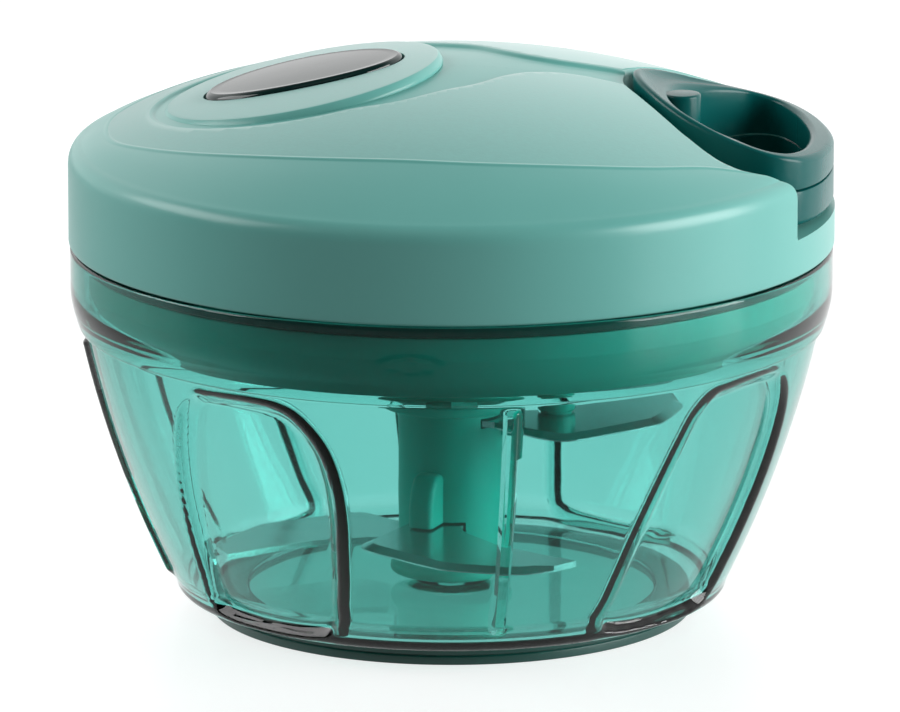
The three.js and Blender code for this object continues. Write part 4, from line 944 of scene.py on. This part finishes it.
def clear_plastic(name):
    """Clear plastic that gets its colour in its depth. Shadow rays pass through it."""
    made, tree, shader = new_material(name)
    place = add_node(tree, "TexCoord", "Object")
    noise = add_node(tree, "TexNoise", "Fac", Vector=place, Scale=30, Detail=3)
    tint = tinted(tree, noise, [c * 0.97 for c in CLEAR_TINT], [min(c * 1.03, 1) for c in CLEAR_TINT])
    spread = add_node(tree, "MapRange", "Result", Value=noise, To_Min=CLEAR_ROUGHNESS * 0.5,
                      To_Max=CLEAR_ROUGHNESS * 1.8)
    wave = add_node(tree, "TexNoise", "Fac", Vector=place, Scale=45)
    lift = add_node(tree, "Bump", "Normal", Height=wave, Strength=0.12, Distance=0.0006)
    feed(tree, shader, Transmission_Weight=1.0, IOR=CLEAR_IOR, Base_Color=tint, Roughness=spread,
         Normal=lift)
    thin = add_node(tree, "BsdfTransparent", "BSDF", Color=(*CLEAR_SHADOW, 1))
    in_shadow = add_node(tree, "LightPath", "Is Shadow Ray")
    surface = join_shaders(tree, "MixShader", in_shadow, shader.outputs["BSDF"], thin)
    soak = add_node(tree, "VolumeAbsorption", "Volume", Color=(*SOAK_COLOR, 1), Density=SOAK_DENSITY)
    feed(tree, tree.nodes["Material Output"], Surface=surface, Volume=soak)
    made["slot"] = "clear_teal"
    return made


MINT = (0.16, 0.49, 0.44)
mint_smooth = material("mint_smooth", "mint_plastic", MINT, 0.3, vary=0.03, bump=0.05, bump_scale=500)
# The skirt is the lid's own mint, painted darker here as shade inside the collar
mint_skirt_shaded = material("mint_skirt_shaded", "mint_plastic", (0.07, 0.38, 0.33), 0.35, vary=0.04, bump=0.05,
                      bump_scale=500)
mint_grain = material("mint_grain", "mint_plastic", [c * 0.97 for c in MINT], 0.34, vary_scale=900,
                      bump=0.3, bump_scale=1900, bump_distance=0.00004)
grain_tree = mint_grain.node_tree
feed(grain_tree, grain_tree.nodes["Principled BSDF"], Sheen_Weight=0.4, Sheen_Roughness=0.45)
clear_teal = clear_plastic("clear_teal")
dark_teal = material("dark_teal", "dark_teal", (0.0015, 0.11, 0.104), 0.27, vary=0.12, vary_scale=40,
                     bump=0.04, bump_scale=300, ior=1.37)
badge_gloss = material("badge_gloss", "dark_teal", (0.001, 0.02, 0.018), 0.08, vary=0.3, vary_scale=30,
                       rough_vary=0.03)
teal_plastic = material("teal_plastic", "teal_plastic", (0.004, 0.4, 0.33), 0.45, vary=0.08, bump=0.05)
foot_rubber = material("foot_rubber", "foot_rubber", (0.004, 0.06, 0.05), 0.35, vary=0.2, bump=0.1,
                       bump_scale=700)
steel = material("steel", "steel", (0.7, 0.71, 0.71), 0.22, metallic=1.0, vary_scale=40, rough_vary=0.08,
                 stretch=(1, 14, 1), bump=0.08, bump_scale=400)
inner_plastic = material("inner_plastic", "inner_plastic", (0.62, 0.66, 0.64), 0.5, vary=0.05, bump=0.1)
cord_fibre = material("cord_fibre", "cord_fibre", (0.75, 0.74, 0.68), 0.85, vary=0.15, vary_scale=2500,
                      bump=0.8, bump_scale=2200, bump_distance=0.0003)


def dress(piece, *looks):
    piece.data.materials.clear()
    for look in looks:
        piece.data.materials.append(look)


dress(cover, mint_smooth, mint_grain)


def grain_faces(piece):
    """The crown inside the ridge and the boss's top are grained, all else is smooth."""
    mesh = piece.data
    centre, normal = np.empty((2, len(mesh.polygons) * 3))
    mesh.polygons.foreach_get("center", centre)
    mesh.polygons.foreach_get("normal", normal)
    x, y, z = centre.reshape(-1, 3).T / MM
    up = normal.reshape(-1, 3)[:, 2] > 0.5
    radius = np.hypot(x, y)
    reach = ridge_radius(x, radius)
    rise = z - crown(x, y)
    on_crown = up & (np.abs(rise) < 0.1) & (radius < reach - 0.4)
    on_boss = up & (np.hypot(x - BOSS_X, y) < BOSS_R - 0.7) & (np.abs(z - boss_top(x, y)) < 0.1)
    mesh.polygons.foreach_set("material_index", (on_crown | on_boss).astype(np.int32))
    mesh.update()


grain_faces(cover)
for look, pieces in ((badge_gloss, [badge]), (clear_teal, [bowl_glass]), (mint_skirt_shaded, [skirt]),
                     (dark_teal, [handle_upper, handle_lower]), (teal_plastic, [column_body, cap, drive]),
                     (foot_rubber, [foot, seal]), (steel, [*blades, pin, *screws]),
                     (inner_plastic, [bush]), (cord_fibre, [lead])):
    for piece in pieces:
        dress(piece, look)
for look, names in ((steel, ("spindle", "recoil_spring", "cord_guide", "pawl_1", "pawl_2")),
                    (inner_plastic, ("spring_arbor", "spool", "spool_cap")),
                    (cord_fibre, ("cord_winding", "cord_run", "cord_knot"))):
    for name in names:
        nodes[name].data.materials.clear()
        nodes[name].data.materials.append(look)


# Studio
FLOOR_HALF = 3000
FLOOR_DARK, FLOOR_PALE = (0.31, 0.32, 0.32), (0.33, 0.34, 0.34)
# How bright the floor looks, and where it fades, forwards and leftwards, in reflections and in the bowl. The
# fades are painted shade: the object's shadow in front and a darker left side.
FLOOR_GLOW, LEFT_GLOW = 0.74, 0.3
FLOOR_SHADOW_FADE, LEFT_SHADE_FADE = (-0.09, -0.03), (-0.22, -0.06)
# The world: white behind for rays through the bowl, and the light that it gives
GLASS_FADE, BACK_FADE, HIGH_FADE, TOP_FADE = (0.1, 0.85), (-0.15, 0.5), (0.9, 0.58), (0.3, 0.9)
WORLD_BACK, WORLD_FRONT, WORLD_TOP = 1.2, 0.03, 0.05
SOFTBOX_TARGET = (0, 0, 0.06)
SOFTBOXES = [
    ("left", (-0.86, -0.02, 0.56), (0.8, 0.5), 4.0),
    ("right", (0.95, -0.26, 0.32), (0.75, 0.6), 8.0),
    ("top", (0.0, -0.5, 1.0), (0.8, 0.6), 0.15),
]
FRAME_WIDTH, SENSOR, FOCAL, SHIFT = 900, 36, 11091.54, (-1.5, -1.4)
CAMERA_AT, CAMERA_DOWN = (0, -1.76457, 0.46821), 13.58


def chain(tree, operation, *values):
    node = tree.nodes.new("ShaderNodeMath")
    node.operation = operation
    for socket, value in zip(node.inputs, values):
        if isinstance(value, (int, float)):
            socket.default_value = value
        else:
            tree.links.new(value, socket)
    return node.outputs["Value"]


def ramp_between(tree, value, low, high):
    """From 0 at low to 1 at high, smoothly."""
    node = tree.nodes.new("ShaderNodeMapRange")
    node.interpolation_type = "SMOOTHSTEP"
    return feed(tree, node, Value=value, From_Min=low, From_Max=high).outputs["Result"]


def seen_white(tree, *rays):
    """1 for the rays that see the white studio as it is, such as the camera's."""
    path = tree.nodes.new("ShaderNodeLightPath")
    total = path.outputs[rays[0]]
    for ray in rays[1:]:
        total = chain(tree, "MAXIMUM", total, path.outputs[ray])
    return total


def softbox(name, place, size, brightness):
    data = bpy.data.lights.new(name, "AREA")
    data.shape = "RECTANGLE"
    data.size, data.size_y = size
    data.energy = brightness * math.pi * size[0] * size[1]
    lamp = linked(name, data)
    lamp.location = place
    lamp.rotation_euler = (Vector(SOFTBOX_TARGET) - Vector(place)).to_track_quat("-Z", "Y").to_euler()


def studio_floor():
    corners = [(x * FLOOR_HALF, y * FLOOR_HALF, 0) for x, y in ((-1, -1), (1, -1), (1, 1), (-1, 1))]
    floor = new_object("floor", corners, [(0, 1, 2, 3)])
    made, tree, shader = new_material("floor_white")
    tint = tinted(tree, add_node(tree, "TexNoise", "Fac", Scale=2), FLOOR_DARK, FLOOR_PALE)
    feed(tree, shader, Roughness=0.4, Specular_IOR_Level=0.2, Base_Color=tint)
    spot = add_node(tree, "TexCoord", "Object")
    # Painted shade: the glow fades in front, for the object's shadow, and dims at the left, for reflections
    # and rays through the bowl
    past_front_shadow = ramp_between(tree, add_node(tree, "SeparateXYZ", "Y", Vector=spot), *FLOOR_SHADOW_FADE)
    left_shade = ramp_between(tree, add_node(tree, "SeparateXYZ", "X", Vector=spot), *LEFT_SHADE_FADE)
    left_shade = chain(tree, "ADD", chain(tree, "MULTIPLY", left_shade, 1 - LEFT_GLOW), LEFT_GLOW)
    indirect = seen_white(tree, "Is Transmission Ray", "Is Glossy Ray")
    indirect = chain(tree, "MULTIPLY", indirect, chain(tree, "MULTIPLY", past_front_shadow, left_shade))
    seen = chain(tree, "MAXIMUM", seen_white(tree, "Is Camera Ray"), indirect)
    glow = add_node(tree, "Emission", "Emission", Strength=chain(tree, "MULTIPLY", seen, FLOOR_GLOW))
    surface = join_shaders(tree, "AddShader", shader.outputs["BSDF"], glow)
    feed(tree, tree.nodes["Material Output"], Surface=surface)
    floor.data.materials.append(made)


def studio_world():
    world = bpy.data.worlds.new("studio")
    bpy.context.scene.world = world
    world.use_nodes = True
    tree = world.node_tree
    way = add_node(tree, "TexCoord", "Generated")
    away, up = (add_node(tree, "SeparateXYZ", axis, Vector=way) for axis in "YZ")
    behind, low, above = (ramp_between(tree, *facts) for facts in ((away, *BACK_FADE), (up, *HIGH_FADE),
                                                                   (up, *TOP_FADE)))
    behind = chain(tree, "MULTIPLY", behind, low)
    level = chain(tree, "ADD", chain(tree, "MULTIPLY", behind, WORLD_BACK), WORLD_FRONT)
    level = chain(tree, "ADD", level, chain(tree, "MULTIPLY", above, WORLD_TOP))
    back = feed(tree, tree.nodes["Background"], Color=(1, 1, 1, 1), Strength=level).outputs["Background"]
    seen = chain(tree, "MAXIMUM", seen_white(tree, "Is Camera Ray"), ramp_between(tree, away, *GLASS_FADE))
    white = add_node(tree, "Background", "Background", Strength=seen)
    direct = seen_white(tree, "Is Camera Ray", "Is Transmission Ray")
    surface = join_shaders(tree, "MixShader", direct, back, white)
    feed(tree, tree.nodes["World Output"], Surface=surface)


def camera():
    data = bpy.data.cameras.new("photo_camera")
    data.sensor_width = SENSOR
    data.sensor_fit = "HORIZONTAL"
    data.lens = FOCAL / FRAME_WIDTH * SENSOR
    data.shift_x, data.shift_y = (pixels / FRAME_WIDTH for pixels in SHIFT)
    data.clip_start, data.clip_end = 0.05, 20
    made = linked("photo_camera", data)
    made.location = CAMERA_AT
    made.rotation_euler = (math.radians(90 - CAMERA_DOWN), 0, 0)
    bpy.context.scene.camera = made


studio_floor()
studio_world()
for facts in SOFTBOXES:
    softbox(*facts)
camera()
bpy.context.scene.view_settings.view_transform = "Standard"
